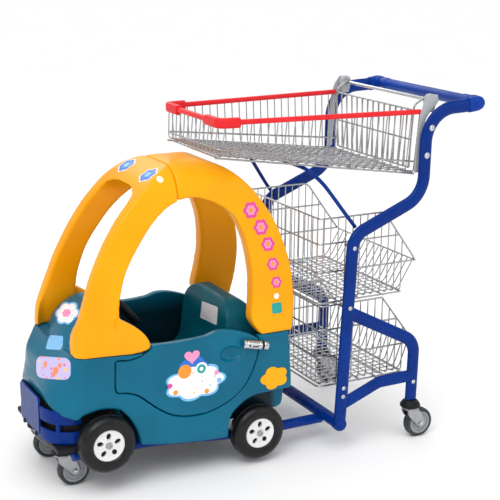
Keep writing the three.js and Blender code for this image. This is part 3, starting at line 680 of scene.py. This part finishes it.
# ---- baskets --------------------------------------------------------------------------------------------
WIRE = 1.7  # radius of the mesh wires
FRAME_WIRE = 2.6  # radius of the wires round the edges
PITCH = 25  # between basket wires
UPPER = {"front": -142, "rear": 455, "front_y": 168, "rear_y": 226, "rim": 976, "front_z": 884, "rear_z": 800}
TAPER = 16  # how far each side of the upper basket leans in


def upper_half(x):
    share = (x - UPPER["front"]) / (UPPER["rear"] - UPPER["front"])
    return UPPER["front_y"] + share * (UPPER["rear_y"] - UPPER["front_y"])


def upper_floor(x):
    share = (x - UPPER["front"]) / (UPPER["rear"] - UPPER["front"])
    return UPPER["front_z"] + share * (UPPER["rear_z"] - UPPER["front_z"])


def spaced(low, high, pitch):
    """Evenly spaced values from low to high, about a pitch apart."""
    count = max(1, round((high - low) / pitch))
    return [low + (high - low) * k / count for k in range(count + 1)]


def add_upper_basket():
    front, rear, rim = UPPER["front"], UPPER["rear"], UPPER["rim"]
    hoops = []
    for x in spaced(front + 14, rear, PITCH):
        y, floor = upper_half(x), upper_floor(x)
        low = y - TAPER
        hoops.append([(x, -y, rim), (x - 2, -low, floor), (x - 2, low, floor), (x, y, rim)])
    for y in spaced(-UPPER["front_y"] + 12, UPPER["front_y"] - 12, PITCH):
        wide = (UPPER["rear_y"] - TAPER) / (UPPER["front_y"] - TAPER / 2)
        end = y * wide
        hoops.append([(front, y, rim), (front - 8, y * 0.93, UPPER["front_z"] + 2 * WIRE),
            (rear, end, UPPER["rear_z"] + 2 * WIRE)])
    piece("basket_upper_wires", *wires(hoops, WIRE, 12), "chrome_wire", nodes=["basket_upper"])
    ring = []
    for height, out in ((rim, 0.0), (None, 2 * WIRE)):
        def corner(x, s):
            z = height if height else upper_floor(x) + (905 - UPPER["front_z"]) + 12 * (x - front) / (
                rear - front)
            lean = 0 if height else TAPER * (rim - z) / (rim - upper_floor(x))
            return x - (6 if not height and x == front else 0), s * (upper_half(x) - lean + out), z
        ring.append([corner(rear, -1), corner(front, -1), corner(front, 1), corner(rear, 1)])
    base = [[(rear, -s * (UPPER["rear_y"] - TAPER), UPPER["rear_z"] - 3),
        (front - 8, -s * (UPPER["front_y"] - TAPER), UPPER["front_z"] - 3)] for s in (-1, 1)]
    cross = [[(x, -upper_half(x) + TAPER, upper_floor(x) - 4), (x, upper_half(x) - TAPER, upper_floor(x) - 4)]
        for x in (front + 6, 90, 270, rear)]
    frame_runs = wires(ring, FRAME_WIRE, 16, 10, 6)
    piece("basket_upper_frame", *merge([frame_runs, wires(base + cross, FRAME_WIRE, 0, 10)]), "chrome_wire")


def add_rims():
    """Red channel strips over the top wire, and the two tall corner caps at the front."""
    top, joint = UPPER["rim"] + 8, UPPER["front"] + 38
    section = rounded_box(13.5, 15, 4)
    line = [(joint + 1, -upper_half(joint), top - 8), (UPPER["rear"], -upper_half(UPPER["rear"]), top - 8)]
    pair("rim_skin", swept(line, section), "rim_red", "rim")
    x, y = UPPER["front"], UPPER["front_y"]
    strip = swept([(x, -y + 52, top - 8), (x, y - 52, top - 8)], section)
    piece("rim_front_skin", *strip, "rim_red", nodes=["rim_front"])
    line = filleted([(x - 1, -y + 80, top - 9), (x - 1, -y, top - 9), (x + 56, -upper_half(x + 56), top - 9)],
        20, 10)
    moulded_pair("rim_corner_cap", swept(line, rounded_box(28, 20, 7)), [], 1.8, 6, "rim_red")


def add_gate_and_plates():
    piece("gate_rod_skin", *tube([(490, -229, 1006), (490, 229, 1006)], 5, sides=16), "bright_steel",
        nodes=["gate_rod"])
    runs = []
    low, top, half_low, half_top = 812, 978, 190, 205
    for layer, lean in ((447, -6), (452, 6)):
        for y in spaced(-half_low, half_low, 27):
            spread = half_top / half_low
            runs.append([(layer + 1, y, low), (layer - 1, y * spread + lean, top)])
    piece("gate_wires", *wires(runs, WIRE, 0), "chrome_wire", "gate", ["gate"])
    loop = [(450, -half_low, low), (450, half_low, low), (448, half_top, top), (448, -half_top, top),
        (450, -half_low, low)]
    middle = [[(449.5, -half_low - 7, 893), (449.5, half_low + 7, 893)]]
    hooks = [[(448, s * (half_top - 2), top - 10), (452, s * (half_top - 2), top + 14),
        (486, s * (half_top - 2), 1012), (496, s * (half_top - 2), 1012)] for s in (-1, 1)]
    eyes = [lathed([(5.4, -3.5), (9, -3.5), (9, 3.5), (5.4, 3.5)], 20, (490, s * (half_top - 2), 1006))
        for s in (-1, 1)]
    shapes = [wires([loop], FRAME_WIRE, 14, 10, 5), wires(middle, FRAME_WIRE, 0, 10),
        wires(hooks, 3, 8, 10, 5)]
    piece("gate_frame", *merge(shapes + eyes), "chrome_wire", "gate")
    plate = curve([(437, 806, 1), (456, 806, 1), (461, 880), (467, 950), (486, 980), (508, 1002),
        (505, 1023, 1), (477, 1023, 1), (458, 996), (447, 950), (441, 880)], 5)
    clip = curve([(474, 973, 1), (499, 973, 1), (506, 1004), (502, 1019), (492, 1024), (479, 1020),
        (473, 1004)], 6)
    moulded_pair("basket_plate_skin", prism(plate, "y", -238, -234), [], 1.3, 2, "grey_plastic",
        "basket_plate")
    moulded_pair("gate_clip_skin", prism(clip, "y", -233, -214), [], 1.6, 4, "grey_plastic", "gate_clip")


def add_shelf_basket(name, front, bend, rear_top, rear_top_z, rear, top, low, pegs):
    """Hooped side wires, front and rear wires, rounded frame wires and the pegs to the side frames."""
    half = 216
    slope = (rear_top_z - top) / (rear_top - bend)
    inner, hoops, frame_runs = half - WIRE, [], []
    for x in spaced(front + 12, rear, PITCH):
        ceiling = top if x <= bend else top + slope * (x - bend)
        hoops.append([(x, -inner, ceiling), (x, -inner, low), (x, inner, low), (x, inner, ceiling)])
    for y in spaced(-half + 14, half - 14, PITCH):
        hoops.append([(front, y, top), (front, y, low + 2 * WIRE), (rear, y, low + 2 * WIRE),
            (rear_top, y, rear_top_z)])
    rim = [(bend, -half, top), (front, -half, top), (front, half, top), (bend, half, top),
        (rear_top, half, rear_top_z), (rear_top, -half, rear_top_z), (bend, -half, top)]
    frame_runs.append(rim)
    for share in (0.36, 0.70):
        z = low + share * (top - low)
        x_end = rear + (z - low) * (rear_top - rear) / (rear_top_z - low)
        if z > rear_top_z:
            x_end = bend + (z - top) / slope
        run = [(x_end, -half, z), (front - 2, -half, z), (front - 2, half, z), (x_end, half, z)]
        frame_runs.append(run if z > rear_top_z else run + [(x_end, -half, z)])
    frame_runs.append([(rear, -half, low - 3), (front, -half, low - 3), (front, half, low - 3),
        (rear, half, low - 3), (rear, -half, low - 3)])
    for x in (front + 70, (front + rear) / 2, rear - 60):
        frame_runs.append([(x, -half, low - 5), (x, half, low - 5)])
    piece(f"{name}_wires", *wires(hoops, WIRE, 14), "chrome_wire", nodes=[name])
    joints = [tube([(x, s * (half - 1), z), (x, s * (SIDE_Y - 10), z)], 4.5, sides=12) for x,
        z in pegs for s in (-1, 1)]
    piece(f"{name}_frame", *merge([wires(frame_runs, FRAME_WIRE, 18, 10, 5), *joints]), "chrome_wire")


# ---- casters and toy wheels -----------------------------------------------------------------------------
CASTERS = {"front": (-588, 102, 123.7), "rear": (452, 254, 120)}  # x, y and the top of the cup
AXLE_Z, TRAIL, CASTER_R = 44.6, 30, 44.6


def add_caster(place, side, s):
    x, y, top = CASTERS[place]
    y *= s
    name = f"{place}_{side}"
    cup = [(0, 98), (27, 98), (30.5, 101), (30.5, 106), (28, 110), (24, top - 4), (19, top), (0, top)]
    piece(f"caster_cup_skin_{name}", *lathed(cup, 36, (x, y, 0), "z"), "black_plastic",
        nodes=[f"caster_cup_{name}"])
    crown = lathed([(0, 91), (20, 91), (23, 93.5), (23, 96.5), (20, 98), (0, 98)], 32, (x, y, 0), "z")
    outline = curve([(-18, 95, 1), (-16, 78), (-4, 62), (16, 42), (24, 34), (34, 32), (42, 40), (42, 52),
        (34, 72), (26, 84), (18, 95, 1)], 5)
    shapes = [crown]
    for cheek in (-1, 1):
        level = sorted((y + cheek * 15.6, y + cheek * 18.8))
        shapes.append(prism([(x + a, b) for a, b in outline], "y", *level))
    shapes.append(prism([(x - 18, 89), (x + 18, 89), (x + 18, 95), (x - 18, 95)], "y", y - 18.8, y + 18.8))
    mesh = moulded(shapes[0], [("UNION", shape) for shape in shapes[1:]], 1.5, 3)
    from_mesh(f"caster_fork_skin_{name}", mesh, "fork_steel", f"fork_{name}", [f"caster_fork_{name}"])
    hub = (x + TRAIL, y, AXLE_Z)
    nuts = [lathed([(0, 19 * e), (7.5, 19 * e), (7.5, 22 * e), (5, 24 * e), (0, 24.5 * e)], 6, hub)
        for e in (-1, 1)]
    piece(f"caster_nut_{name}", *merge(nuts), "bright_steel", f"fork_{name}", slot="fork_steel")
    tread = [(34, -13), (38, -14), (42.4, -12.4), (44.5, -8), (CASTER_R, -3), (CASTER_R, 3), (44.5, 8),
        (42.4, 12.4), (38, 14), (34, 13)]
    piece(f"caster_tread_{name}", *lathed(tread, 64, hub), "caster_tread", f"wheel_{name}",
        [f"caster_wheel_{name}"])
    core = [(4.3, -13.5), (11, -13.5), (12, -10), (16, -8), (17, -11), (20, -11.5), (21, -8), (28, -8.5),
        (29.5, -12.5), (35, -13), (35, 13), (29.5, 12.5), (28, 8.5), (21, 8), (20, 11.5), (17, 11), (16, 8),
        (12, 10), (11, 13.5), (4.3, 13.5)]
    piece(f"caster_core_{name}", *lathed(core, 48, hub), "caster_core", f"wheel_{name}")


TOY_WHEELS = {"front": (-497, 147), "rear": (-40, 94)}


def add_toy_wheel(place, side, s):
    x, z = TOY_WHEELS[place]
    name = f"{place}_{side}"
    hub = (x, 0, z)
    tyre = [(38, -215), (44, -220), (46, -224), (50, -226.5), (60, -227.6), (68, -226), (74.5, -221.5),
        (78.8, -214), (79.9, -207), (79.9, -203), (78.4, -202), (78.4, -199), (79.9, -198), (79.9, -190),
        (78, -181), (72, -174.5), (60, -173), (38, -173)]
    piece(f"toy_tyre_{name}", *on_side(lathed(tyre, 96, hub), s), "toy_tyre", f"toy_{name}",
        [f"toy_wheel_{name}"])
    disc = lathed([(0, -216), (12, -221), (20, -221.5), (30, -220), (40, -221.5), (44.5, -222), (44.8, -214),
        (0, -208)], 64, hub)
    holes = []
    for k in range(5):
        turn = 2 * math.pi * k / 5 + math.pi / 2
        oval = [(-7 * math.cos(a) * math.sin(turn) + (26 + 9.5 * math.sin(a)) * math.cos(turn),
            7 * math.cos(a) * math.cos(turn) + (26 + 9.5 * math.sin(a)) * math.sin(turn)) for a in turns(20)]
        holes.append(("DIFFERENCE", on_side(prism([(x + a, z + b) for a, b in oval], "y", -226, -204), s)))
    mesh = moulded(on_side(disc, s), holes, 1.3, 3)
    from_mesh(f"toy_hub_{name}", mesh, "hub_white", f"toy_{name}")
    back = lathed([(6.4, -212), (42, -212), (42, -208), (6.4, -208)], 40, hub)
    piece(f"toy_hub_back_{name}", *on_side(back, s), "black_plastic", f"toy_{name}", slot="toy_tyre")
    screw = lathed([(0, -217), (8.5, -221.5), (8.5, -223.5), (6, -225.5), (2.5, -225.8), (2.4, -224),
        (0, -224)], 24, hub)
    piece(f"toy_screw_{name}", *on_side(screw, s), "fork_steel", f"toy_{name}", slot="toy_tyre")


def add_wheels():
    beam = prism(rounded_box(72, 15.7, 4), "y", -172, 172)
    beam = ([(x - 588, y, z + 131.85) for x, y, z in beam[0]], beam[1])
    piece("caster_beam_skin", *beam, "black_plastic", nodes=["caster_beam"])
    for side, s in SIDES:
        for place in ("front", "rear"):
            add_caster(place, side, s)
            add_toy_wheel(place, side, s)
    for place, saddle in (("front", 108), ("rear", 72)):
        x, z = TOY_WHEELS[place]
        low = saddle + 9
        shapes = [tube([(x, -216, z), (x, 216, z)], 6, sides=20)]
        for s in (-1, 1):
            block = prism(rounded_box(24, z + 10 - low, 4), "y", s * 155 - 13, s * 155 + 13)
            shapes.append(([(a + x, b, c + (low + z + 10) / 2) for a, b, c in block[0]], block[1]))
        piece(f"toy_axle_skin_{place}", *merge(shapes), "fork_steel", nodes=[f"toy_axle_{place}"])


# ---- toy car --------------------------------------------------------------------------------------------
CAR_Y, CABIN_Y, BELT_Z = 215, 193, 386
WHEEL_BOX_Y, SEAM = 166, 3
FLANK_SLOPE = 0.1775  # how much the roof's sides lean in for each mm of height
# Points of the car's side view as (x, z). A third value makes a corner of the smooth outline.
DOOR_LINE = [(-474, 371, 1), (-471, 287), (-440, 281), (-407, 270), (-380, 250), (-351, 226), (-308, 199),
    (-262, 187), (-212, 186), (-166, 196), (-125, 214), (-93, 240), (-68, 278), (-52, 318), (-45, 352),
    (-46, 378, 1), (-78, 396), (-131, 413), (-172, 416), (-208, 407), (-290, 404), (-365, 406, 1),
    (-372, 392), (-400, 378), (-429, 371)]
BODY_LINE = [(-650, 335), (-653, 300), (-646, 264), (-627, 236), (-590, 221), (-545, 215), (-505, 213, 1),
    (-405, 127, 1), (-270, 108), (-138, 97, 1), (30, 135, 1), (60, 150), (63, 237), (58, 303), (52, 386, 1),
    (-590, 386, 1), (-622, 374), (-644, 356)]
HOOD_LINE = [(-606, 380, 1), (-588, 412), (-545, 444), (-490, 468), (-446, 478), (-437, 470, 1),
    (-437, 380, 1)]
FRONT_ARCH = [(-600, 80, 1), (-592, 170), (-566, 222), (-532, 236), (-497, 241), (-450, 229), (-415, 180),
    (-399, 126), (-399, 80, 1)]
REAR_ARCH = [(-138, 80, 1), (-130, 158), (-92, 194), (-54, 209), (1, 212), (80, 213, 1), (80, 80, 1)]
FRONT_HOLLOW = [(-636, 200), (-636, 340), (-596, 362), (-452, 366), (-452, 100), (-560, 100)]
CAR_PLAN_HALF = [(80, 215, 1), (-560, 215), (-598, 204), (-624, 180), (-642, 142), (-650, 92), (-653, 0)]
ROOF_OUT = [(-590, 387, 1), (-586, 440), (-566, 482), (-548, 527), (-522, 589), (-483, 658), (-440, 718),
    (-400, 762), (-350, 808), (-300, 842), (-250, 862), (-205, 868), (-150, 863), (-95, 843), (-40, 797),
    (10, 733), (45, 665), (68, 590), (77, 520), (74, 450), (64, 387, 1)]
ROOF_ARCH = [(-457, 370, 1), (-456, 440), (-453, 482), (-446, 532), (-420, 603), (-376, 668), (-332, 720),
    (-290, 755), (-249, 773), (-214, 777), (-180, 771), (-131, 749), (-93, 718), (-71, 675), (-57, 623),
    (-50, 553), (-55, 484), (-62, 430), (-48, 402), (-37, 390, 1), (-37, 370, 1)]
FAIRING = [(-470, 387, 1), (-430, 387), (-398, 390), (-369, 402), (-380, 432), (-408, 458), (-470, 492, 1)]
ROOF_VIEW = [(216, 380, 1), (145, 780, 1), (136, 812), (112, 844), (62, 863), (0, 868)]
ROOF_TUNNEL = [(171, 300), (171, 390), (104, 770), (92, 792), (60, 802), (0, 804)]
ROOF_SPLIT = -254


def both_halves(half):
    """A front-view outline from its (half width, z) points."""
    return half + [(-p[0], *p[1:]) for p in reversed(half) if p[0] > 0]


def both_plan(half):
    """A plan outline from its half at +Y."""
    return half + [(p[0], -p[1], *p[2:]) for p in reversed(half) if p[1] > 0]


def across(outline, low, high):
    return prism(outline, "y", low, high)


def both_sides(outline, low, high):
    return [across(outline, low, high), across(outline, -high, -low)]


def grown(outline, by):
    """An outline moved outwards along its average normals."""
    area = sum(a[0] * b[1] - b[0] * a[1] for a, b in zip(outline, outline[1:] + outline[:1]))
    turn = 1 if area > 0 else -1
    out = []
    for i, here in enumerate(outline):
        before = (Vector(here) - Vector(outline[i - 1])).normalized()
        after = (Vector(outline[(i + 1) % len(outline)]) - Vector(here)).normalized()
        way = (before + after).normalized()
        out.append((here[0] + by * turn * way.y, here[1] - by * turn * way.x))
    return out


def as_shape(mesh):
    """A finished mesh as a shape in millimetres."""
    shape = [tuple(v.co / MM) for v in mesh.vertices], [tuple(p.vertices) for p in mesh.polygons]
    bpy.data.meshes.remove(mesh)
    return shape


def ellipsoid(centre, radii, steps=28):
    rings = []
    for j in range(1, steps // 2):
        polar = math.pi * j / (steps // 2)
        rings.append([(centre[0] + radii[0] * math.sin(polar) * math.cos(2 * math.pi * k / steps),
            centre[1] + radii[1] * math.sin(polar) * math.sin(2 * math.pi * k / steps),
            centre[2] + radii[2] * math.cos(polar)) for k in range(steps)])
    return skin(rings)


def narrowed_front(x, y, z):
    """Draws the car's front in towards the middle and back a little, as the nose is round in plan."""
    share, nose = eased(-x, 330, 590), eased(-x, 555, 650)
    high, deck = eased(z, 200, 330), eased(z, 320, 390)
    return x + 20 * share * high + 8 * nose, y * (1 - 0.14 * share - (0.12 + 0.22 * deck) * nose), z


def add_car_body():
    plan = prism(curve(both_plan(CAR_PLAN_HALF), 4), "z", 60, 600)
    tunnel = prism(both_halves([(max(a - 0.6, 0), b) for a, b in ROOF_TUNNEL]), "x", -700, 0)
    dome = ellipsoid((-440, 0, 330), (152, 290, 160), 40)
    hood = as_shape(moulded(across(curve(HOOD_LINE, 4), -CAR_Y, CAR_Y),
        [("INTERSECT", plan), ("INTERSECT", tunnel), ("INTERSECT", dome)]))
    opening = [(x, z + 200 if z > BELT_Z - 1 else z) for x, z in grown(curve(DOOR_LINE, 4), SEAM)]
    small_plan = [(x + 14, y * 0.92) for x, y in curve(both_plan(CAR_PLAN_HALF), 4)]
    nose = as_shape(moulded(across(FRONT_HOLLOW, -195, 195),
        [("INTERSECT", prism(small_plan, "z", 60, 600))]))
    cuts = [box(-437.5, 28, -CABIN_Y, CABIN_Y, 205, 600), box(-437.5, 28, -160, 160, 150, 210),
        box(-470, 90, -168, 168, 60, 137), box(-395, -150, -CABIN_Y, CABIN_Y, 60, 137), nose,
        *both_sides(curve(FRONT_ARCH, 4), WHEEL_BOX_Y, 219), *both_sides(curve(REAR_ARCH, 4), WHEEL_BOX_Y,
        219), *both_sides(opening, CABIN_Y - 3, 219)]
    steps = [("INTERSECT", plan), ("UNION", hood)] + [("DIFFERENCE", cut) for cut in cuts]
    mesh = moulded(across(curve(BODY_LINE, 4), -217, 217), steps, 3.6, 7)
    reshaped(mesh, narrowed_front)
    from_mesh("car_body_skin", mesh, "car_teal", nodes=["car_body"])
    pan = box(-434, 20, -159, 159, 125, 136.7)
    mesh = moulded(pan, [], 3.5, 4)
    from_mesh("car_pan_skin", mesh, "black_plastic", nodes=["car_pan"])
    tray = both_plan([(-470, 160), (-556, 152), (-594, 140), (-616, 104), (-628, 60), (-630, 0)])
    mesh = moulded(prism(tray, "z", 152, 238), [], 3.5, 6)
    from_mesh("nose_tray", mesh, "black_plastic")


HANDLE_RECESS_X, HANDLE_RECESS_Z = -132, 347


def add_doors():
    slab = across(curve(DOOR_LINE, 4), -CAR_Y, -CABIN_Y)
    recess = ellipsoid((HANDLE_RECESS_X, -CAR_Y - 2, HANDLE_RECESS_Z), (35, 15, 23))
    lip = skin([[(HANDLE_RECESS_X + (38 + 3.4 * math.sin(b)) * math.cos(a), -CAR_Y + 0.5 - 3 * math.cos(b),
        HANDLE_RECESS_Z + (26 + 3.4 * math.sin(b)) * math.sin(a)) for b in turns(10)] for a in turns(48)],
        wrap=True)
    moulded_pair("door_skin", slab, [("UNION", lip), ("DIFFERENCE", recess)], 2.4, 4, "car_teal", "door",
        "door", narrowed_front)


def add_roof():
    view = prism(both_halves(curve(ROOF_VIEW, 4, closed=False)), "x", -700, 200)
    tunnel = prism(both_halves(ROOF_TUNNEL), "x", -700, 200)
    arch = across(curve(ROOF_ARCH, 4), -240, 240)
    for name, x0, x1 in (("front", -700, ROOF_SPLIT + 0.2), ("rear", ROOF_SPLIT - 0.2, 200)):
        steps = [("INTERSECT", view), ("INTERSECT", box(x0, x1, -300, 300, 300, 1000)), ("DIFFERENCE", arch),
            ("DIFFERENCE", tunnel)]
        if name == "front":
            steps += [("UNION", fairing) for fairing in both_sides(curve(FAIRING, 4), 176, CAR_Y)]
        mesh = moulded(across(curve(ROOF_OUT, 4), -230, 230), steps, 3.4, 22)
        reshaped(mesh, narrowed_front)
        from_mesh(f"roof_skin_{name}", mesh, "roof_yellow", nodes=[f"roof_{name}"])


def add_seat():
    outline = curve([(-352, 152, 1), (-352, 262), (-330, 288), (-240, 284), (-150, 272), (-122, 300),
        (-108, 420), (-98, 452), (-76, 466), (-48, 462), (-24, 438), (-12, 370), (-6, 300), (-6, 152, 1)], 4)
    view = both_halves(curve([(150, 100, 1), (150, 370, 1), (138, 426), (104, 458), (50, 465), (0, 466)], 4,
        closed=False))
    hollow = ellipsoid((-128, 0, 372), (20, 100, 76))
    mesh = moulded(across(outline, -152, 152), [("INTERSECT", prism(view, "x", -400, 20)),
        ("DIFFERENCE", hollow)], 3.8, 14)
    from_mesh("seat_skin", mesh, "seat_teal", nodes=["seat"])


STEERING_X, STEERING_Z, STEERING_TILT = -368, 456, 0.85
STEERING_R, STEERING_TUBE_R = 64, 9


def add_steering_wheel():
    ring = lathed(circle(STEERING_TUBE_R, 16, (STEERING_R, 0)), 48, (0, 0, 0), "z")
    hub = lathed([(0, -16), (20, -16), (22, -12), (22, -2), (16, 4), (0, 5)], 32, (0, 0, 0), "z")
    column = lathed([(0, -70), (9, -70), (9, -12), (0, -12)], 20, (0, 0, 0), "z")
    steps = [("UNION", hub), ("UNION", column)]
    for k in range(3):
        angle = 2 * math.pi * k / 3
        end = Vector((math.cos(angle), math.sin(angle), 0)) * STEERING_R
        spoke = swept([end * 0.12, end * 0.5 - Vector((0, 0, 1.5)), end], rounded_box(9, 17, 4),
            flat=(0, 0, 1))
        steps.append(("UNION", spoke))
    mesh = moulded(ring, steps, 1.8, 4)
    c, s = math.cos(STEERING_TILT), math.sin(STEERING_TILT)
    reshaped(mesh, lambda x, y, z: (STEERING_X + x * c + z * s, y, STEERING_Z - x * s + z * c))
    from_mesh("steering_wheel_skin", mesh, "black_plastic", "steering", ["steering_wheel"])


BOLT_X, BOLT_Y, BOLT_Z, BOLT_TILT = -72, -229, 368, 0.21


def on_bolt(shape):
    """A shape modelled along +X from the bolt's own origin, tilted and placed on the left door."""
    c, n = math.cos(BOLT_TILT), math.sin(BOLT_TILT)
    return [(BOLT_X + x * c + z * n, y + BOLT_Y, BOLT_Z - x * n + z * c) for x, y, z in shape[0]], shape[1]


def add_bolts():
    barrel = lathed([(6, -26), (6, 28), (10.5, 28), (12.6, 25.5), (12.6, 19), (11.8, 18), (11.8, 15.5),
        (12.6, 14.5), (12.6, -18), (11.8, -19), (11.8, -22), (12.6, -23), (12.6, -28), (10.5, -30), (0, -30),
        (0, -26)], 40, (0, 0, 0), "x")
    slot = prism(rounded_box(34, 8.5, 4.2), "y", -20, 0)
    moulded_pair("bolt_barrel_skin", on_bolt(barrel), [("DIFFERENCE", on_bolt(slot))], None, 0,
        "bright_steel", "bolt_barrel", "door")
    pair("bolt_foot", on_bolt(prism(rounded_box(48, 16, 5), "y", 11, 14)), "bright_steel", None, "door")
    rod = lathed([(0, -25), (4.6, -25), (5.6, -24), (5.6, 30.5), (4.4, 32), (0, 32)], 24, (0, 0, 0), "x")
    knob = lathed([(0, -18), (2.4, -18), (3.2, -17), (3.2, 0), (0, 0)], 16, (-11, 0, 0))
    pair("bolt_rod_skin", on_bolt(merge([rod, knob])), "bright_steel", "bolt_rod", "bolt")
    keeper = lathed([(6.2, 35), (10.5, 35), (12, 37), (12, 47), (10, 49), (0, 49), (0, 45.5), (6.2, 45.5)],
        36, (0, 0, 0), "x")
    pair("bolt_keeper_skin", on_bolt(keeper), "bright_steel", "bolt_keeper")


# ---- stickers -------------------------------------------------------------------------------------------
def lobed(wide, high, lobes, depth=0.12, points=72, turn=0.0):
    """A flower or cloud outline with round lobes."""
    out = []
    for angle in turns(points):
        reach = 1 - depth + depth * abs(math.cos(lobes * (angle + turn) / 2)) * 1.4 - depth * 0.4
        out.append((wide / 2 * reach * math.cos(angle), high / 2 * reach * math.sin(angle)))
    return out


def dense(outline, step=4):
    """The outline with extra points, so a film made from it can follow a curved face."""
    out = []
    for i, here in enumerate(outline):
        after = outline[(i + 1) % len(outline)]
        count = max(1, round(math.dist(here, after) / step))
        out += [(here[0] + (after[0] - here[0]) * k / count, here[1] + (after[1] - here[1]) * k / count)
            for k in range(count)]
    return out


def heart(wide, high, points=48):
    out = []
    for a in turns(points):
        across_it = math.sin(a) ** 3
        up_it = (13 * math.cos(a) - 5 * math.cos(2 * a) - 2 * math.cos(3 * a) - math.cos(4 * a)) / 15
        out.append((wide / 2 * across_it, high / 2 * up_it))
    return out


def decal(name, outline, centre, right, up, target, material, body="trolley", slot="car_teal", lift=0.5,
        hole=0.0):
    """A thin film laid on a finished piece: the outline is thrown at it along the view it was drawn in."""
    mesh = bpy.data.objects[target].data
    tree = BVHTree.FromPolygons([v.co for v in mesh.vertices], [tuple(p.vertices) for p in mesh.polygons])
    right, up = Vector(right).normalized(), Vector(up).normalized()
    way = up.cross(right)
    start = Vector(centre) * MM
    outline = dense(outline)
    shares = [1 - (1 - hole) * k / 10 for k in range(11 if hole else 10)]
    rings = []
    for share in shares:
        ring = []
        for a, b in outline:
            place = start + (right * a + up * b) * MM * share - way * 0.05
            hit, normal, _, _ = tree.ray_cast(place, way, 0.15)
            if hit is None:
                hit, normal = place + way * 0.05, -way
            ring.append((hit - way * lift * MM) / MM)
        rings.append(ring)
    verts, faces = skin(rings, caps=False)
    if not hole:
        size = len(outline)
        faces.append(tuple(range(len(verts) - size, len(verts))))
    piece(name, verts, faces, material, body, slot=slot)


def add_stickers():
    flat_up = (0, 0, 1)
    for side, s in SIDES:
        door = f"door_skin_{side}"
        right = (1, 0, 0) if s < 0 else (-1, 0, 0)

        def on_door(name, outline, x, z, material, lift, hole=0.0):
            decal(f"{name}_{side}", outline, (x, s * CAR_Y, z), right, flat_up, door, material,
                f"door_{side}", lift=lift, hole=hole)
        on_door("door_cloud_edge", lobed(188, 108, 7, 0.13), -240, 282, "sticker_sky", 0.35)
        on_door("door_cloud", lobed(174, 94, 7, 0.13), -240, 282, "sticker_cloud", 0.7)
        on_door("door_balloon_edge", lobed(92, 74, 5, 0.10), -246, 322, "sticker_blue", 0.5)
        on_door("door_sun", lobed(40, 40, 2, 0.0), -272, 318, "sticker_orange", 0.9)
        on_door("door_ball", lobed(38, 38, 2, 0.0), -222, 318, "sticker_white", 0.9)
        on_door("door_ring", lobed(26, 26, 2, 0.0), -222, 318, "sticker_teal", 1.1, 0.45)
        on_door("door_heart", heart(46, 40), -250, 358, "sticker_pink", 0.8)
        for number, (x, z, colour) in enumerate(((-316, 284, "magenta"), (-300, 262, "orange"),
                (-176, 300, "pink"), (-168, 276, "sky"), (-206, 250, "orange"))):
            on_door(f"door_dot_{number}", lobed(15, 15, 5, 0.12), x, z, f"sticker_{colour}", 1.0)
        decal(f"badge_edge_{side}", lobed(90, 70, 5, 0.16, turn=0.6), (6, s * CAR_Y, 253), right, flat_up,
            "car_body_skin", "badge_yellow", lift=1.2)
        for number, (x, z, size) in enumerate(((-41, 729, 48), (-14, 680, 46), (4, 632, 42), (15, 576, 38),
                (22, 525, 34), (19, 487, 17))):
            half = 216 - FLANK_SLOPE * (z - 380)
            films = [("white", 1, 0)] if number == 5 else [("pink", 0.9, 0), ("magenta", 1, 0.62),
                ("orange", 0.3, 0)]
            for layer, (colour, share, hole) in enumerate(films):
                decal(f"pillar_flower_{number}_{layer}_{side}", lobed(size * share, size * share, 6, 0.14),
                    (x, s * half, z), right, (0, -s * FLANK_SLOPE, 1), "roof_skin_rear", f"sticker_{colour}",
                    slot="roof_yellow", lift=0.4 + 0.3 * layer, hole=hole)
        decal(f"pillar_patch_{side}", rounded_box(32, 30, 5), (18, s * 204, 454), right,
            (0, -s * FLANK_SLOPE, 1), "roof_skin_rear", "sticker_teal", slot="roof_yellow")
        for ring, (size, colour, lift) in enumerate(((62, "white", 0.3), (54, "blue", 0.6),
                (22, "sky", 0.9))):
            decal(f"roof_flower_{ring}_{side}", lobed(size, size, 6, 0.14), (-309, s * 74, 835),
                (0.84, 0, 0.54), (0, 1, 0), "roof_skin_front", f"sticker_{colour}", slot="roof_yellow",
                lift=lift)
        cap = lathed([(0, 0), (11, 0), (11, 1.5), (9.5, 3.4), (5, 4.2), (0, 4.4)], 28, (0, 0, 0), "z")
        turned = Matrix.Translation((-297, s * 121, 830)) @ Matrix.Rotation(-s * 0.9, 4, "X")
        piece(f"roof_cap_{side}", [turned @ Vector(v) for v in cap[0]], cap[1], "cap_white")
    near_right, near_up = (0.884, -0.467, 0), (0.138, 0.262, 0.955)
    decal("nose_band", rounded_box(108, 58, 18), (-612, -112, 350), near_right, near_up, "car_body_skin",
        "sticker_band")
    decal("nose_patch", rounded_box(48, 36, 5), (-585, -52, 398), near_right, near_up, "car_body_skin",
        "sticker_sky")
    for ring, (grow, colour, lift) in enumerate(((1.0, "sky", 0.3), (0.84, "cloud", 0.6),
            (0.34, "pink", 0.9))):
        decal(f"hood_cloud_{ring}", lobed(84 * grow, 66 * grow, 6, 0.13), (-520, 20, 452), near_right,
            near_up, "car_body_skin", f"sticker_{colour}", lift=lift)
    decal("seat_label", rounded_box(36, 52, 3), (-118, -58, 412), (0.93, -0.35, -0.1), (0.13, 0.1, 0.98),
        "seat_skin", "label_paper")


# ---- the whole scene ------------------------------------------------------------------------------------
add_camera()
make_materials()
add_studio()
add_frame()
add_handle()
add_bumper()
add_upper_basket()
add_rims()
add_gate_and_plates()
add_shelf_basket("basket_middle", 144, 357, 473, 540, 424, 696, 454, [(229, 615.3), (222, 456)])
add_shelf_basket("basket_lower", 150, 361, 472, 298, 440, 441, 202, [(221, 437), (340, 203), (430, 203)])
add_wheels()
add_car_body()
add_doors()
add_roof()
add_seat()
add_steering_wheel()
add_bolts()
add_stickers()
